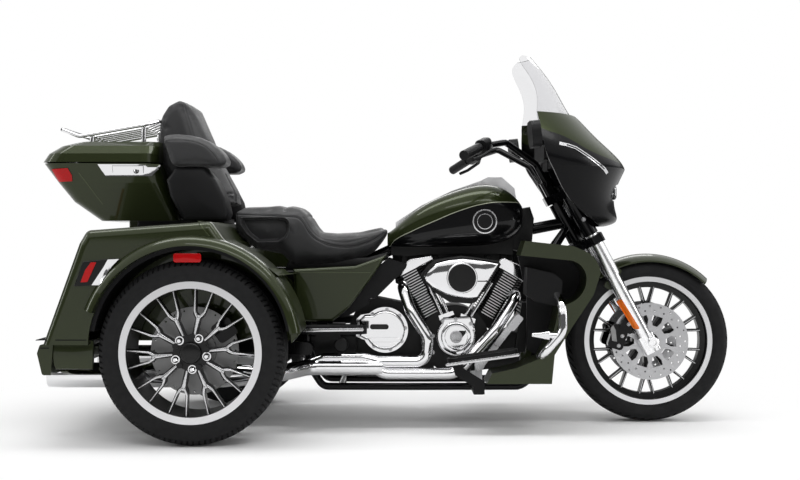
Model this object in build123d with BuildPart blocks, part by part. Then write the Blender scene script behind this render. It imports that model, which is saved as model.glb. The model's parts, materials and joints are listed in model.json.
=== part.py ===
"""Touring motor trike: one front wheel in a raked fork, a big air-cooled V-twin, and two rear wheels
under a wide rear body with a trunk, a hinged luggage box and a fork-mounted fairing.

Frame: +X forward, +Y to the rider's left, +Z up.  Z = 0 is the floor under the three tyres, Y = 0 is the
middle plane and X = 0 is half the overall length.  All lengths are millimetres.
"""
import math
import os

from build123d import *

# ---------------------------------------------------------------- driving dimensions
wheelbase = 1700.0
tail_overhang = 627.0          # rear axle to the rearmost edge of the luggage box
half_track = 545.0             # middle plane to the middle of a rear tyre

front_tyre_radius = 319.0
front_tyre_width = 130.0
front_rim_radius = 255.0       # to the edge of the rim flange
front_rim_width = 102.0
rear_tyre_radius = 325.0
rear_tyre_width = 215.0
rear_rim_radius = 247.0
rear_rim_width = 204.0
flange_thickness = 7.0
flange_height = 14.0
rim_wall = 12.0
spoke_pairs = 10

front_axle_x = (tail_overhang + wheelbase + front_tyre_radius) / 2 - front_tyre_radius
rear_axle_x = front_axle_x - wheelbase
tail_x = rear_axle_x - tail_overhang

running_clearance = 0.05       # radial, between a shaft and its bore
panel_gap = 5.0                # between a lid or door and its frame
moving_gap = 6.0               # between bodies that move past each other

# fork and steering head
rake = 28.0                    # degrees from the vertical
fork_offset = 60.0             # axle ahead of the steering axis
fork_half_spacing = 118.0
slider_radius = 27.0
shroud_radius = 31.0
stem_radius = 17.0
head_tube_radius = 31.0
front_axle_radius = 12.5
lower_yoke_up = 455.0          # measured from the axle along the steering axis
upper_yoke_up = 668.0
yoke_thickness = 34.0

rake_sin = math.sin(math.radians(rake))
rake_cos = math.cos(math.radians(rake))
fork_foot = (front_axle_x - fork_offset * rake_cos, 0.0, front_tyre_radius - fork_offset * rake_sin)

# engine
crank_x, crank_z = 240.0, 330.0
engine_half_width = 118.0
vee_x, vee_z = 254.0, 229.0    # where the two cylinder axes meet
front_lean, rear_lean = 30.5, 28.0
fin_half_length = 54.0
fin_half_width = 92.0
fin_count = 18
fin_pitch = 10.5
fin_thickness = 3.6
barrel_radius = 44.0
first_fin = 222.0              # from the vee point along a cylinder axis

# rear body
shell_wall = 14.0
body_half_width = 655.0
bay_half_width = 428.0         # inner wall of each wheel bay
arch_radius = 350.0
arch_raise = 20.0              # arch centre above the wheel centre
lip_radius = 386.0             # outer edge of the flared lip round the arch
deck_round = 30.0
flare_reach = 690.0
door_half_width = 330.0
door_bottom, door_top = 400.0, 690.0
door_thickness = shell_wall

# luggage box
box_wall = 8.0
lid_line = 1003.0

os.makedirs("parts", exist_ok=True)


# ---------------------------------------------------------------- helpers
def fork_point(ahead, side, up):
    """A point given ahead of the steering axis, to its left, and up along it from the level of the axle."""
    x, _, z = fork_foot
    return (x + ahead * rake_cos - up * rake_sin, side, z + ahead * rake_sin + up * rake_cos)


def fork_level(up, ahead=0.0, side=0.0):
    """The plane square to the steering axis at that height; its x is ahead and its y is to the left."""
    return Plane(
        origin=fork_point(ahead, side, up), x_dir=(rake_cos, 0, rake_sin), z_dir=(-rake_sin, 0, rake_cos)
    )


def radial_plane(centre, angle):
    """The plane through a wheel's axis whose x runs along Y and whose y points outward at that angle."""
    c, s = math.cos(math.radians(angle)), math.sin(math.radians(angle))
    return Plane(origin=centre, x_dir=(0, 1, 0), z_dir=(s, 0, -c))


def side_plane(y):
    """The upright plane at that Y, whose local x is X and whose local y is Z; it faces -Y."""
    return Plane(origin=(0, y, 0), x_dir=(1, 0, 0), z_dir=(0, -1, 0))


def cross_plane(x):
    """The upright plane at that X, whose local x is Y and whose local y is Z; it faces +X."""
    return Plane(origin=(x, 0, 0), x_dir=(0, 1, 0), z_dir=(1, 0, 0))


def tube(points, radius, bend=60.0):
    """A round tube or bar along straight runs joined by tangent arcs, each as large as its runs allow."""
    knots = [Vector(point) for point in points]
    arcs = []
    for before, knot, after in zip(knots, knots[1:], knots[2:]):
        turn = math.radians((knot - before).get_angle(after - knot))
        shorter = min((knot - before).length, (after - knot).length)
        arcs.append(min(bend, 0.45 * shorter / math.tan(turn / 2)))
    with BuildPart() as bent:
        with BuildLine() as path:
            if arcs:
                FilletPolyline(*knots, radius=arcs)
            else:
                Polyline(*knots)
        with BuildSketch(Plane(origin=path.line @ 0, z_dir=path.line % 0)):
            Circle(radius)
        sweep(path=path.line)
    return bent.part


def both_sides(points):
    """The same points on the right side, where Y is negative."""
    return [(x, -y, z) for x, y, z in points]


def save(part, name):
    """Labels a finished piece and writes it as its own STEP file."""
    part.label = name
    export_step(part, f"parts/{name}.step")


# ---------------------------------------------------------------- wheels and tyres
front_centre = (front_axle_x, 0.0, front_tyre_radius)


def tyre_ring(centre, radius, width, rim_radius, rim_width, crown_drop, shoulder_share):
    """A tyre: beads between the rim flanges, bulging walls, and a crown that drops towards the shoulders."""
    bead = rim_width / 2 - flange_thickness - 0.5
    seat = rim_radius - flange_height + 0.3
    half = width / 2
    shoulder = half * shoulder_share
    wall_mid = (rim_radius + radius - crown_drop) / 2
    with BuildPart() as ring:
        with BuildSketch(radial_plane(centre, 90)):
            with BuildLine():
                Polyline((-bead, rim_radius + 1), (-bead, seat), (bead, seat), (bead, rim_radius + 1))
                ThreePointArc((bead, rim_radius + 1), (half, wall_mid), (shoulder, radius - crown_drop))
                ThreePointArc((shoulder, radius - crown_drop), (0, radius),
                              (-shoulder, radius - crown_drop))
                ThreePointArc((-shoulder, radius - crown_drop), (-half, wall_mid), (-bead, rim_radius + 1))
            make_face()
        revolve(axis=Axis(centre, (0, 1, 0)))
    return ring.part


def rim_ring(centre, rim_radius, rim_width, web=0.0):
    """The rim: a barrel with a flange at each edge, a shallow well, and inside it an optional web ring."""
    half = rim_width / 2
    seat = rim_radius - flange_height
    inner = seat - rim_wall
    well = half * 0.45
    with BuildPart() as rim:
        with BuildSketch(radial_plane(centre, 90)):
            Polygon(
                (-half, inner), (half, inner), (half, rim_radius), (half - flange_thickness, rim_radius),
                (half - flange_thickness, seat), (well, seat), (well - 6, seat - 5),
                (6 - well, seat - 5), (-well, seat), (flange_thickness - half, seat),
                (flange_thickness - half, rim_radius), (-half, rim_radius), align=None,
            )
            if web:
                Polygon((-24, inner + 1), (24, inner + 1), (19, inner - web), (-19, inner - web),
                        align=None)
        revolve(axis=Axis(centre, (0, 1, 0)))
    return rim.part


def forked_spokes(centre, face_y, depth, radii, stem, fork_half, prong, spread, phase):
    """A ring of spokes: each stem leaves the hub, opens into a U, and meets the rim at two points."""
    root, split, tip_radius = radii
    tip_half = math.radians(spread) / 2
    tip_x, tip_y = tip_radius * math.cos(tip_half), tip_radius * math.sin(tip_half)
    toward = -1 if face_y > centre[1] else 1
    with BuildPart() as star:
        face = Plane(origin=(centre[0], face_y, centre[2]), x_dir=(1, 0, 0), z_dir=(0, toward, 0))
        with BuildSketch(face):
            with PolarLocations(0, spoke_pairs, -toward * phase):
                Polygon(
                    (root, -stem / 2), (split - 14, -stem / 2), (split, -fork_half - prong / 2),
                    (tip_x, -tip_y - prong / 2), (tip_x, -tip_y + prong / 2),
                    (split + 8, -fork_half + prong / 2),
                    (split, 0), (split + 8, fork_half - prong / 2), (tip_x, tip_y - prong / 2),
                    (tip_x, tip_y + prong / 2), (split, fork_half + prong / 2), (split - 14, stem / 2),
                    (root, stem / 2), align=None,
                )
        extrude(amount=depth)
    return star.part


front_hub_half = 66.0
with BuildPart() as front_wheel:
    add(rim_ring(front_centre, front_rim_radius, front_rim_width, web=20.0))
    front_tip = front_rim_radius - flange_height - rim_wall - 10
    add(forked_spokes(front_centre, -19.0, 38.0, (48.0, 150.0, front_tip), 22.0, 11.0, 8.0, 15.5, 18.0))
    with BuildSketch(side_plane(0)):
        with Locations((front_axle_x, front_tyre_radius)):
            Circle(58)
    extrude(amount=22, both=True)
    with BuildSketch(side_plane(0)):
        with Locations((front_axle_x, front_tyre_radius)):
            Circle(34)
    extrude(amount=front_hub_half, both=True)
    with BuildSketch(side_plane(0)):
        with Locations((front_axle_x, front_tyre_radius)):
            Circle(front_axle_radius + running_clearance)
    extrude(amount=front_hub_half, both=True, mode=Mode.SUBTRACT)
save(front_wheel.part, "front_wheel")

front_tyre = tyre_ring(
    front_centre, front_tyre_radius, front_tyre_width, front_rim_radius, front_rim_width, 34.0, 0.98
)
save(front_tyre, "front_tyre")

disc_radius = 150.0
disc_offset = 80.0             # middle plane to the middle of a front brake disc
disc_thickness = 5.0
disc_web = 108.0               # inside radius of the swept ring
with BuildPart() as front_discs:
    disc_sides = (disc_offset, -disc_offset)
    for side in disc_sides:
        with BuildSketch(side_plane(side + disc_thickness / 2)):
            with Locations((front_axle_x, front_tyre_radius)):
                Circle(disc_radius)
                Circle(34, mode=Mode.SUBTRACT)
                with PolarLocations(0, 10):                        # windows of the disc's carrier
                    Polygon((62, -9), (62, 9), (82, 20), (102, 20), (102, -20), (82, -20), align=None,
                            mode=Mode.SUBTRACT)
                with PolarLocations(disc_radius - 12, 20):
                    Circle(3.5, mode=Mode.SUBTRACT)
                with PolarLocations(disc_web + 12, 20, 9):
                    Circle(3.5, mode=Mode.SUBTRACT)
        extrude(amount=disc_thickness)
    for side in disc_sides:    # carrier between the hub and the disc
        inner = front_hub_half - 8
        with BuildSketch(side_plane(math.copysign(inner, side))):
            with Locations((front_axle_x, front_tyre_radius)):
                Circle(46)
                Circle(34.3, mode=Mode.SUBTRACT)
        extrude(amount=math.copysign(disc_offset + 1 - inner, -side))
save(front_discs.part, "front_brake_discs")

spindle_radius = 22.0
rear_hub_radius = 62.0
for name, sign in (("left", 1), ("right", -1)):
    centre = (rear_axle_x, sign * half_track, rear_tyre_radius)
    face = sign * (half_track + rear_rim_width / 2 - 14)
    with BuildPart() as rear_wheel:
        add(rim_ring(centre, rear_rim_radius, rear_rim_width))
        rear_tip = rear_rim_radius - flange_height - rim_wall + 5
        add(forked_spokes(centre, face, 34.0, (52.0, 133.0, rear_tip), 17.0, 15.0, 8.0, 16.0, 6.0))
        with BuildSketch(side_plane(face)):
            with Locations((rear_axle_x, rear_tyre_radius)):
                Circle(rear_hub_radius)
        extrude(amount=sign * 34)
        with BuildSketch(side_plane(face - sign * 34)):
            with Locations((rear_axle_x, rear_tyre_radius)):
                Circle(40)
        extrude(amount=sign * 62)
        with BuildSketch(side_plane(face - sign * 14)):
            with Locations((rear_axle_x, rear_tyre_radius)):
                Circle(spindle_radius + running_clearance)
        extrude(amount=sign * 90, mode=Mode.SUBTRACT)
        with BuildSketch(side_plane(face)):
            with Locations((rear_axle_x, rear_tyre_radius)):
                with PolarLocations(57.15, 5, 60 * sign):
                    Circle(10.5)
        extrude(amount=-sign * 8)
    save(rear_wheel.part, f"rear_wheel_{name}")
    tyre = tyre_ring(
        centre, rear_tyre_radius, rear_tyre_width, rear_rim_radius, rear_rim_width, 12.0, 0.86
    )
    save(tyre, f"rear_tyre_{name}")
    rotor_y = face - sign * (34 + 50)
    with BuildPart() as rotor:
        with BuildSketch(side_plane(rotor_y)):
            with Locations((rear_axle_x, rear_tyre_radius)):
                Circle(155)
                Circle(40.3, mode=Mode.SUBTRACT)
                with PolarLocations(144, 24):
                    Circle(3.5, mode=Mode.SUBTRACT)
        extrude(amount=sign * 8)
        with BuildSketch(side_plane(rotor_y)):
            with Locations((rear_axle_x, rear_tyre_radius)):
                Circle(78)
                Circle(40.3, mode=Mode.SUBTRACT)
        extrude(amount=-sign * 22)
    save(rotor.part, f"rear_brake_disc_{name}")


# ---------------------------------------------------------------- fork and steering
slider_top = 300.0
shroud_top = lower_yoke_up - yoke_thickness / 2
stanchion_radius = 24.5
leg_ahead = fork_offset - 14.0              # the sliders stand behind the axle, which sits in their feet
with BuildPart() as fork_legs:
    for side in (fork_half_spacing, -fork_half_spacing):
        levels = (
            (-34.0, slider_top, slider_radius),
            (slider_top, shroud_top, shroud_radius),
            (shroud_top, upper_yoke_up + yoke_thickness / 2 + 8, stanchion_radius),
        )
        for low, high, radius in levels:
            with BuildSketch(fork_level(low, leg_ahead, side)):
                Circle(radius)
            extrude(amount=high - low)
        with BuildSketch(fork_level(-34.0, leg_ahead, side)):
            RectangleRounded(66, 50, 12)
        extrude(amount=72)
    with BuildSketch(side_plane(fork_half_spacing + 32)):
        with Locations((front_axle_x, front_tyre_radius)):
            Circle(front_axle_radius)
    extrude(amount=2 * (fork_half_spacing + 32))
    with BuildSketch(side_plane(fork_half_spacing + 32)):
        with Locations((front_axle_x, front_tyre_radius)):
            Circle(19)
    extrude(amount=8)
save(fork_legs.part, "fork_legs")

with BuildPart() as fork_yokes:
    for up in (lower_yoke_up, upper_yoke_up):
        with BuildSketch(fork_level(up - yoke_thickness / 2)):
            with BuildLine():
                Polyline(
                    (leg_ahead - 12, -fork_half_spacing - 38), (leg_ahead + 38, -fork_half_spacing - 38),
                    (leg_ahead + 38, fork_half_spacing + 38), (leg_ahead - 12, fork_half_spacing + 38),
                    (leg_ahead - 36, fork_half_spacing + 6), (-38, 34), (-38, -34),
                    (leg_ahead - 36, -fork_half_spacing - 6), close=True,
                )
            make_face()
            with Locations((leg_ahead, fork_half_spacing), (leg_ahead, -fork_half_spacing)):
                Circle(stanchion_radius + running_clearance, mode=Mode.SUBTRACT)
        extrude(amount=yoke_thickness)
    with BuildSketch(fork_level(lower_yoke_up)):
        Circle(stem_radius)
    extrude(amount=upper_yoke_up - lower_yoke_up)
    fillet(fork_yokes.edges().filter_by(Axis(fork_foot, (-rake_sin, 0, rake_cos))).filter_by(
        lambda e: e.length > yoke_thickness - 1 and e.geom_type == GeomType.LINE), radius=14)
save(fork_yokes.part, "fork_yokes")

# front fender: a section swept round the wheel
fender_radius = 342.0
fender_half_width = 79.0
fender_skin = 5.0
fender_start, fender_end = 46.0, 128.0
fender_skirt = 32.0            # how far the sides hang below the crown
skirt_shoulder = 26.0


def fender_section(grow):
    """The fender's outline in a radial plane, from its skirt over the crown; grow moves it outward."""
    half, skirt, top = fender_half_width + grow, fender_radius - fender_skirt, fender_radius + grow
    return half, skirt, top


with BuildPart() as front_fender:
    with BuildSketch(radial_plane(front_centre, fender_start)):
        outer_half, skirt, outer_top = fender_section(0)
        inner_half, _, inner_top = fender_section(-fender_skin)
        with BuildLine():
            Line((outer_half, skirt), (outer_half, outer_top - skirt_shoulder))
            ThreePointArc((outer_half, outer_top - skirt_shoulder), (0, outer_top),
                          (-outer_half, outer_top - skirt_shoulder))
            Line((-outer_half, outer_top - skirt_shoulder), (-outer_half, skirt))
            Line((-outer_half, skirt), (-inner_half, skirt))
            Line((-inner_half, skirt), (-inner_half, inner_top - skirt_shoulder))
            ThreePointArc((-inner_half, inner_top - skirt_shoulder), (0, inner_top),
                          (inner_half, inner_top - skirt_shoulder))
            Line((inner_half, inner_top - skirt_shoulder), (inner_half, skirt))
            Line((inner_half, skirt), (outer_half, skirt))
        make_face()
    revolve(axis=Axis(front_centre, (0, -1, 0)), revolution_arc=fender_end - fender_start)
    for side in (1, -1):       # lugs that bolt the fender to the sliders
        reach = fork_half_spacing - slider_radius - fender_half_width + 0.5
        with BuildSketch(side_plane(side * (fork_half_spacing - slider_radius + 2))):
            with Locations(fork_point(leg_ahead, 0, 286)[::2]):
                RectangleRounded(34, 90, 8, rotation=-rake)
        extrude(amount=side * (reach + 3))
    add(fork_legs.part, mode=Mode.SUBTRACT)
save(front_fender.part, "front_fender")

with BuildPart() as front_calipers:
    caliper_radius = disc_radius - 22
    caliper_angle = 172.0
    for side in (1, -1):
        c, s = math.cos(math.radians(caliper_angle)), math.sin(math.radians(caliper_angle))
        where = (front_axle_x + caliper_radius * c, front_tyre_radius + caliper_radius * s)
        with BuildSketch(side_plane(side * (disc_offset + 19))):
            with Locations(where):
                RectangleRounded(62, 96, 16, rotation=-18)
        extrude(amount=side * 34)
        with BuildSketch(side_plane(side * (disc_offset + disc_thickness))):
            with Locations((front_axle_x, front_tyre_radius)):
                Circle(disc_radius + 3)
        extrude(amount=side * 2 * disc_thickness, mode=Mode.SUBTRACT)
        with BuildSketch(side_plane(side * (disc_offset + 24))):   # bracket to the slider
            with Locations(fork_point(leg_ahead - 34, 0, 100)[::2]):
                RectangleRounded(52, 60, 8, rotation=-rake)
        extrude(amount=side * 14)
    add(fork_legs.part, mode=Mode.SUBTRACT)
save(front_calipers.part, "front_calipers")

# fairing: sections at rising heights, each a curved band swept back from the nose
# columns: height, nose x, x of the rear edges, half width
fairing_wall = 16.0
liner_fit = 0.25               # the inner fairing's rim stands this far off the cowl's inner face
lower_cowl_rows = (
    (768.0, 832.0, 800.0, 118.0),
    (792.0, 884.0, 764.0, 190.0),
    (862.0, 873.0, 668.0, 290.0),
    (938.0, 890.0, 612.0, 352.0),
    (990.0, 914.0, 582.0, 388.0),
)
upper_cowl_rows = (
    (990.0, 914.0, 582.0, 388.0),
    (1024.0, 894.0, 566.0, 398.0),
    (1100.0, 816.0, 548.0, 378.0),
    (1160.0, 758.0, 543.0, 330.0),
    (1196.0, 722.0, 540.0, 296.0),
)
shield_inset = fairing_wall + 0.6              # the windshield's base stands just inside the cowl
windshield_rows = (
    *((height, nose - shield_inset, rear, half - shield_inset) for height, nose, rear,
      half in upper_cowl_rows[-2:]),
    (1290.0, 650.0, 540.0, 226.0),
    (1376.0, 594.0, 500.0, 186.0),
    (1434.0, 548.0, 503.0, 104.0),
)


def swept_core(rows, wall):
    """The space that a swept band encloses, closed by a flat face at its rear edges."""
    with BuildPart() as core:
        for height, nose, rear, half in rows:
            with BuildSketch(Plane.XY.offset(height)):
                with BuildLine():
                    ThreePointArc((rear, wall - half), (nose - wall, 0), (rear, half - wall))
                    Line((rear, half - wall), (rear, wall - half))
                make_face()
        loft()
    return core.part


def swept_band(rows, wall):
    """A thin curved wall lofted through arcs: nose forward, both ends swept back."""
    with BuildPart() as band:
        for height, nose, rear, half in rows:
            with BuildSketch(Plane.XY.offset(height)):
                with BuildLine():
                    ThreePointArc((rear, -half), (nose, 0), (rear, half))
                    Line((rear, half), (rear, half - wall))
                    ThreePointArc((rear, half - wall), (nose - wall, 0), (rear, wall - half))
                    Line((rear, wall - half), (rear, -half))
                make_face()
        loft()
    return band.part


with BuildPart() as outer_fairing:
    add(swept_band(lower_cowl_rows, fairing_wall))
    add(swept_band(upper_cowl_rows, fairing_wall))
    with BuildSketch(cross_plane(1000)):       # lamp opening in the nose
        with Locations((0, 900)):
            RectangleRounded(250, 66, 26)
    extrude(amount=-160, mode=Mode.SUBTRACT)
save(outer_fairing.part, "outer_fairing")

with BuildPart() as headlamp:
    with BuildSketch(cross_plane(826)):
        with Locations((0, 900)):
            RectangleRounded(244, 60, 24)
    extrude(amount=42)
    fillet(headlamp.faces().sort_by(Axis.X)[-1].edges(), radius=8)
    add(outer_fairing.part, mode=Mode.SUBTRACT)
save(headlamp.part, "headlamp")

inner_fairing_x = 604.0
with BuildPart() as inner_fairing:
    with BuildSketch(cross_plane(inner_fairing_x)):
        with Locations((0, 1062)):
            Rectangle(760, 180)
    extrude(amount=26)
    add(swept_core(upper_cowl_rows, fairing_wall + liner_fit), mode=Mode.INTERSECT)
    with BuildSketch(cross_plane(inner_fairing_x)):            # display housing
        with Locations((0, 1086)):
            RectangleRounded(330, 124, 16)
    extrude(amount=-24)
    with BuildSketch(cross_plane(inner_fairing_x)):            # speaker rings
        with Locations((-232, 1068), (232, 1068)):
            Circle(58)
    extrude(amount=-12)
    with BuildSketch(cross_plane(inner_fairing_x + 10)):       # hood over the display
        with Locations((0, 1146)):
            RectangleRounded(420, 12, 5)
    extrude(amount=-40)
save(inner_fairing.part, "inner_fairing")

windshield = swept_band(windshield_rows, 5.0)
save(windshield, "windshield")

with BuildPart() as fairing_bracket:           # carries the fairing on the fork
    for side in (1, -1):
        with BuildSketch(side_plane(side * (fork_half_spacing - 18))):
            Polygon((704, 900), (650, 900), (600, 985), (inner_fairing_x, 1110),
                    (inner_fairing_x + 26, 1110),
                    (644, 990), align=None)
        extrude(amount=side * 6)
    for other in (fork_legs.part, fork_yokes.part, inner_fairing.part):
        add(other, mode=Mode.SUBTRACT)
save(fairing_bracket.part, "fairing_bracket")

grip_outer = (262.0, 452.0, 1022.0)
grip_inner = (330.0, 330.0, 1062.0)
bar_radius = 12.7
grip_radius = 18.5
bar_half = [grip_outer, grip_inner, (430.0, 190.0, 1088.0), (556.0, 96.0, 1010.0), fork_point(-6, 62, 720)]
with BuildPart() as handlebar:
    bar_path = bar_half + both_sides(reversed(bar_half))
    add(tube(bar_path, bar_radius, 44))
    for side in (46, -46):                     # risers on the upper yoke
        with BuildSketch(fork_level(upper_yoke_up + yoke_thickness / 2, -6, side)):
            RectangleRounded(44, 34, 10)
        extrude(amount=58)
save(handlebar.part, "handlebar")


grip_length = (Vector(grip_inner) - Vector(grip_outer)).length
with BuildPart() as hand_controls:
    for sign in (1, -1):
        outer = Vector(grip_outer[0], sign * grip_outer[1], grip_outer[2])
        inner = Vector(grip_inner[0], sign * grip_inner[1], grip_inner[2])
        run = (inner - outer).normalized()
        with BuildSketch(Plane(origin=outer - run * 10, z_dir=run)):
            Circle(grip_radius)
            Circle(bar_radius + running_clearance, mode=Mode.SUBTRACT)
        extrude(amount=grip_length - 18)
        with BuildSketch(Plane(origin=outer - run * 12, z_dir=run)):
            Circle(grip_radius)
        extrude(amount=2.5)
        switch = Plane(origin=inner - run * 10, x_dir=(0, 0, 1), z_dir=run)
        with BuildSketch(switch):
            RectangleRounded(50, 44, 16)
            Circle(bar_radius + running_clearance, mode=Mode.SUBTRACT)
        extrude(amount=52, both=False)
        lever = [
            tuple(inner + run * 22 + Vector(26, 0, -4)),
            tuple(inner - run * 30 + Vector(46, 0, -10)),
            tuple(outer + run * 30 + Vector(44, 0, -14)),
            tuple(outer - run * 14 + Vector(34, 0, -14)),
        ]
        add(tube(lever, 6.5, 18))
    add(handlebar.part, mode=Mode.SUBTRACT)
save(hand_controls.part, "hand_controls")

with BuildPart() as mirrors:
    for sign in (1, -1):
        with BuildSketch(Plane(origin=(500, sign * 408, 1098), x_dir=(0, 1, 0), z_dir=(1, 0, 0.1))):
            RectangleRounded(150, 96, 38)
        extrude(amount=34)
        add(tube([(520, sign * 380, 1082), (582, sign * 356, 1064)], 9))
    add(outer_fairing.part, mode=Mode.SUBTRACT)
save(mirrors.part, "mirrors")


# ---------------------------------------------------------------- frame
rail_radius = 14.0
rail_half = 136.0
rail_z = 150.0
backbone_radius = 22.0
head_low = lower_yoke_up + yoke_thickness / 2 + moving_gap
head_high = upper_yoke_up - yoke_thickness / 2 - moving_gap
backbone_path = [fork_point(0, 0, 560), (480, 0, 745), (90, 0, 722), (-120, 0, 625), (-250, 0, 590)]
upright_x = -330.0
seat_rail_z = 590.0
trunk_front = -560.0
pivot_z = 300.0

with BuildPart() as frame:
    add(tube(backbone_path, backbone_radius, 90))
    for sign in (1, -1):
        down = [fork_point(0, sign * 12, 545), (620, sign * 62, 660), (590, sign * 118, 430),
                (578, sign * rail_half, 240), (500, sign * rail_half, rail_z),
                (60, sign * rail_half, rail_z - 1)]
        add(tube(down, rail_radius, 70))
        rear = [(60, sign * rail_half, rail_z - 1), (upright_x + 60, sign * rail_half, rail_z),
                (upright_x, sign * rail_half, rail_z + 90), (upright_x, sign * rail_half, 560)]
        add(tube(rear, rail_radius, 40))
        top = [(-200, sign * 8, 603), (-280, sign * rail_half, seat_rail_z),
               (trunk_front, sign * rail_half, seat_rail_z)]
        add(tube(top, rail_radius, 50))
        with BuildSketch(side_plane(sign * (rail_half + 20))):
            with Locations((upright_x, pivot_z)):
                Circle(26)
        extrude(amount=sign * 40)
        with BuildSketch(side_plane(sign * (rail_half + 9))):   # gusset from upright to seat rail
            Polygon((upright_x, 500), (upright_x, 586), (upright_x - 90, 586), align=None)
        extrude(amount=sign * 18)
    for x, z in ((480, rail_z), (-200, rail_z), (590, 430)):    # cross members
        with BuildSketch(side_plane(rail_half)):
            with Locations((x, z)):
                Circle(rail_radius)
        extrude(amount=2 * rail_half)
    with BuildSketch(fork_level(head_low)):
        Circle(head_tube_radius)
    extrude(amount=head_high - head_low)
    with BuildSketch(fork_level(head_low)):
        Circle(stem_radius + running_clearance)
    extrude(amount=head_high - head_low, mode=Mode.SUBTRACT)
save(frame.part, "frame")


# ---------------------------------------------------------------- engine and drive
with BuildPart() as crankcase:
    with BuildSketch(Plane.XZ):
        with Locations((crank_x, crank_z)):
            Circle(132)
        Polygon((crank_x - 90, crank_z + 96), (crank_x + 80, crank_z + 104), (crank_x + 116, crank_z + 60),
                (crank_x, crank_z), (crank_x - 116, crank_z + 40), align=None)
    extrude(amount=engine_half_width - 10, both=True)
    with BuildSketch(Plane.XZ):                # gearbox and sump behind the crankcase
        Polygon((crank_x - 80, 178), (crank_x - 80, 430), (40, 470), (-60, 490), (-112, 470), (-150, 432),
                (-172, 380),
                (-172, 240), (-140, 178), align=None)
    extrude(amount=72, both=True)
    for tilt in (front_lean, -rear_lean):             # cylinder spigots
        c, s = math.cos(math.radians(tilt)), math.sin(math.radians(tilt))
        low = first_fin - 42
        with BuildSketch(Plane(origin=(vee_x + low * s, 0, vee_z + low * c), x_dir=(c, 0, -s),
                               z_dir=(s, 0, c))):
            RectangleRounded(2 * barrel_radius + 24, 2 * barrel_radius + 34, 20)
        extrude(amount=42)
        with BuildSketch(Plane(origin=(vee_x + first_fin * s, 0, vee_z + first_fin * c), x_dir=(c, 0, -s),
                               z_dir=(s, 0, c))):
            Rectangle(2 * fin_half_length, 2 * engine_half_width)
        extrude(amount=120, mode=Mode.SUBTRACT)
    split(bisect_by=Plane.XY.offset(rail_z + rail_radius + 3), keep=Keep.TOP)
save(crankcase.part, "crankcase")

fin_stack = (fin_count - 1) * fin_pitch + fin_thickness
rocker_low = first_fin + fin_stack + 4


def cylinder_level(tilt, up):
    """The plane square to a cylinder's axis at that distance from the vee point."""
    c, s = math.cos(math.radians(tilt)), math.sin(math.radians(tilt))
    return Plane(origin=(vee_x + up * s, 0, vee_z + up * c), x_dir=(c, 0, -s), z_dir=(s, 0, c))


cylinders = {}
for name, tilt in (("front", front_lean), ("rear", -rear_lean)):
    with BuildPart() as cylinder:
        with BuildSketch(cylinder_level(tilt, first_fin)):
            Circle(barrel_radius)
        extrude(amount=rocker_low - first_fin)
        for row in range(fin_count):
            with BuildSketch(cylinder_level(tilt, first_fin + row * fin_pitch)):
                RectangleRounded(2 * fin_half_length, 2 * fin_half_width, 34 if row < 9 else 22)
            extrude(amount=fin_thickness)
        with BuildSketch(cylinder_level(tilt, rocker_low - 56)):   # head casting between the fins
            RectangleRounded(2 * fin_half_length - 26, 2 * fin_half_width - 22, 20)
        extrude(amount=56)
    cylinders[name] = cylinder.part
    save(cylinder.part, f"cylinder_{name}")

rocker_outlines = (
    ((24.4, 567.4), (52, 630), (66, 641), (150, 655), (159.4, 638.4)),
    ((402.5, 612.4), (418, 640), (436, 646), (528, 603), (532, 590), (506.5, 550.4)),
)
with BuildPart() as rocker_covers:
    for outline in rocker_outlines:
        with BuildSketch(side_plane(fin_half_width - 12)):
            Polygon(*outline, align=None)
        extrude(amount=2 * (fin_half_width - 12))
    fillet(rocker_covers.edges().group_by(Axis.Y)[0] + rocker_covers.edges().group_by(Axis.Y)[-1], radius=5)
    for cylinder in cylinders.values():
        add(cylinder, mode=Mode.SUBTRACT)
save(rocker_covers.part, "rocker_covers")

cover_face = engine_half_width - 10
with BuildPart() as cam_cover:
    with BuildSketch(side_plane(-cover_face)):
        with Locations((crank_x + 3, crank_z + 12)):
            Circle(76)
        Polygon((crank_x - 60, crank_z + 40), (crank_x - 46, crank_z + 86), (crank_x + 62, crank_z + 92),
                (crank_x + 82, crank_z + 30), align=None)
    extrude(amount=34)
    fillet(cam_cover.faces().sort_by(Axis.Y)[0].edges(), radius=9)
    with BuildSketch(side_plane(-cover_face - 34)):
        with Locations((crank_x + 3, crank_z + 12)):
            Circle(58)
    extrude(amount=12)
    fillet(cam_cover.faces().sort_by(Axis.Y)[0].edges(), radius=5)
save(cam_cover.part, "cam_cover")

tube_y = -engine_half_width + 4
# columns: lifter block outline, x of the tube foot, lean of the tubes
lifter_rows = (
    (((176, 422), (231, 441), (237, 427), (181, 404)), 206.0, -24.0),
    (((263, 431), (320, 409), (315, 392), (261, 418)), 290.0, 32.0),
)
with BuildPart() as pushrod_tubes:
    for outline, foot, lean in lifter_rows:
        for shift in (-13, 13):
            start = (foot + shift, tube_y, 418)
            add(tube([start, (foot + shift + 130 * math.tan(math.radians(lean)), tube_y + 6, 548)], 6))
        with BuildSketch(side_plane(tube_y + 16)):
            Polygon(*outline, align=None)
        extrude(amount=32)
    for other in (cylinders["front"], cylinders["rear"], rocker_covers.part, cam_cover.part,
                  crankcase.part):
        add(other, mode=Mode.SUBTRACT)
save(pushrod_tubes.part, "pushrod_tubes")

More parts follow.
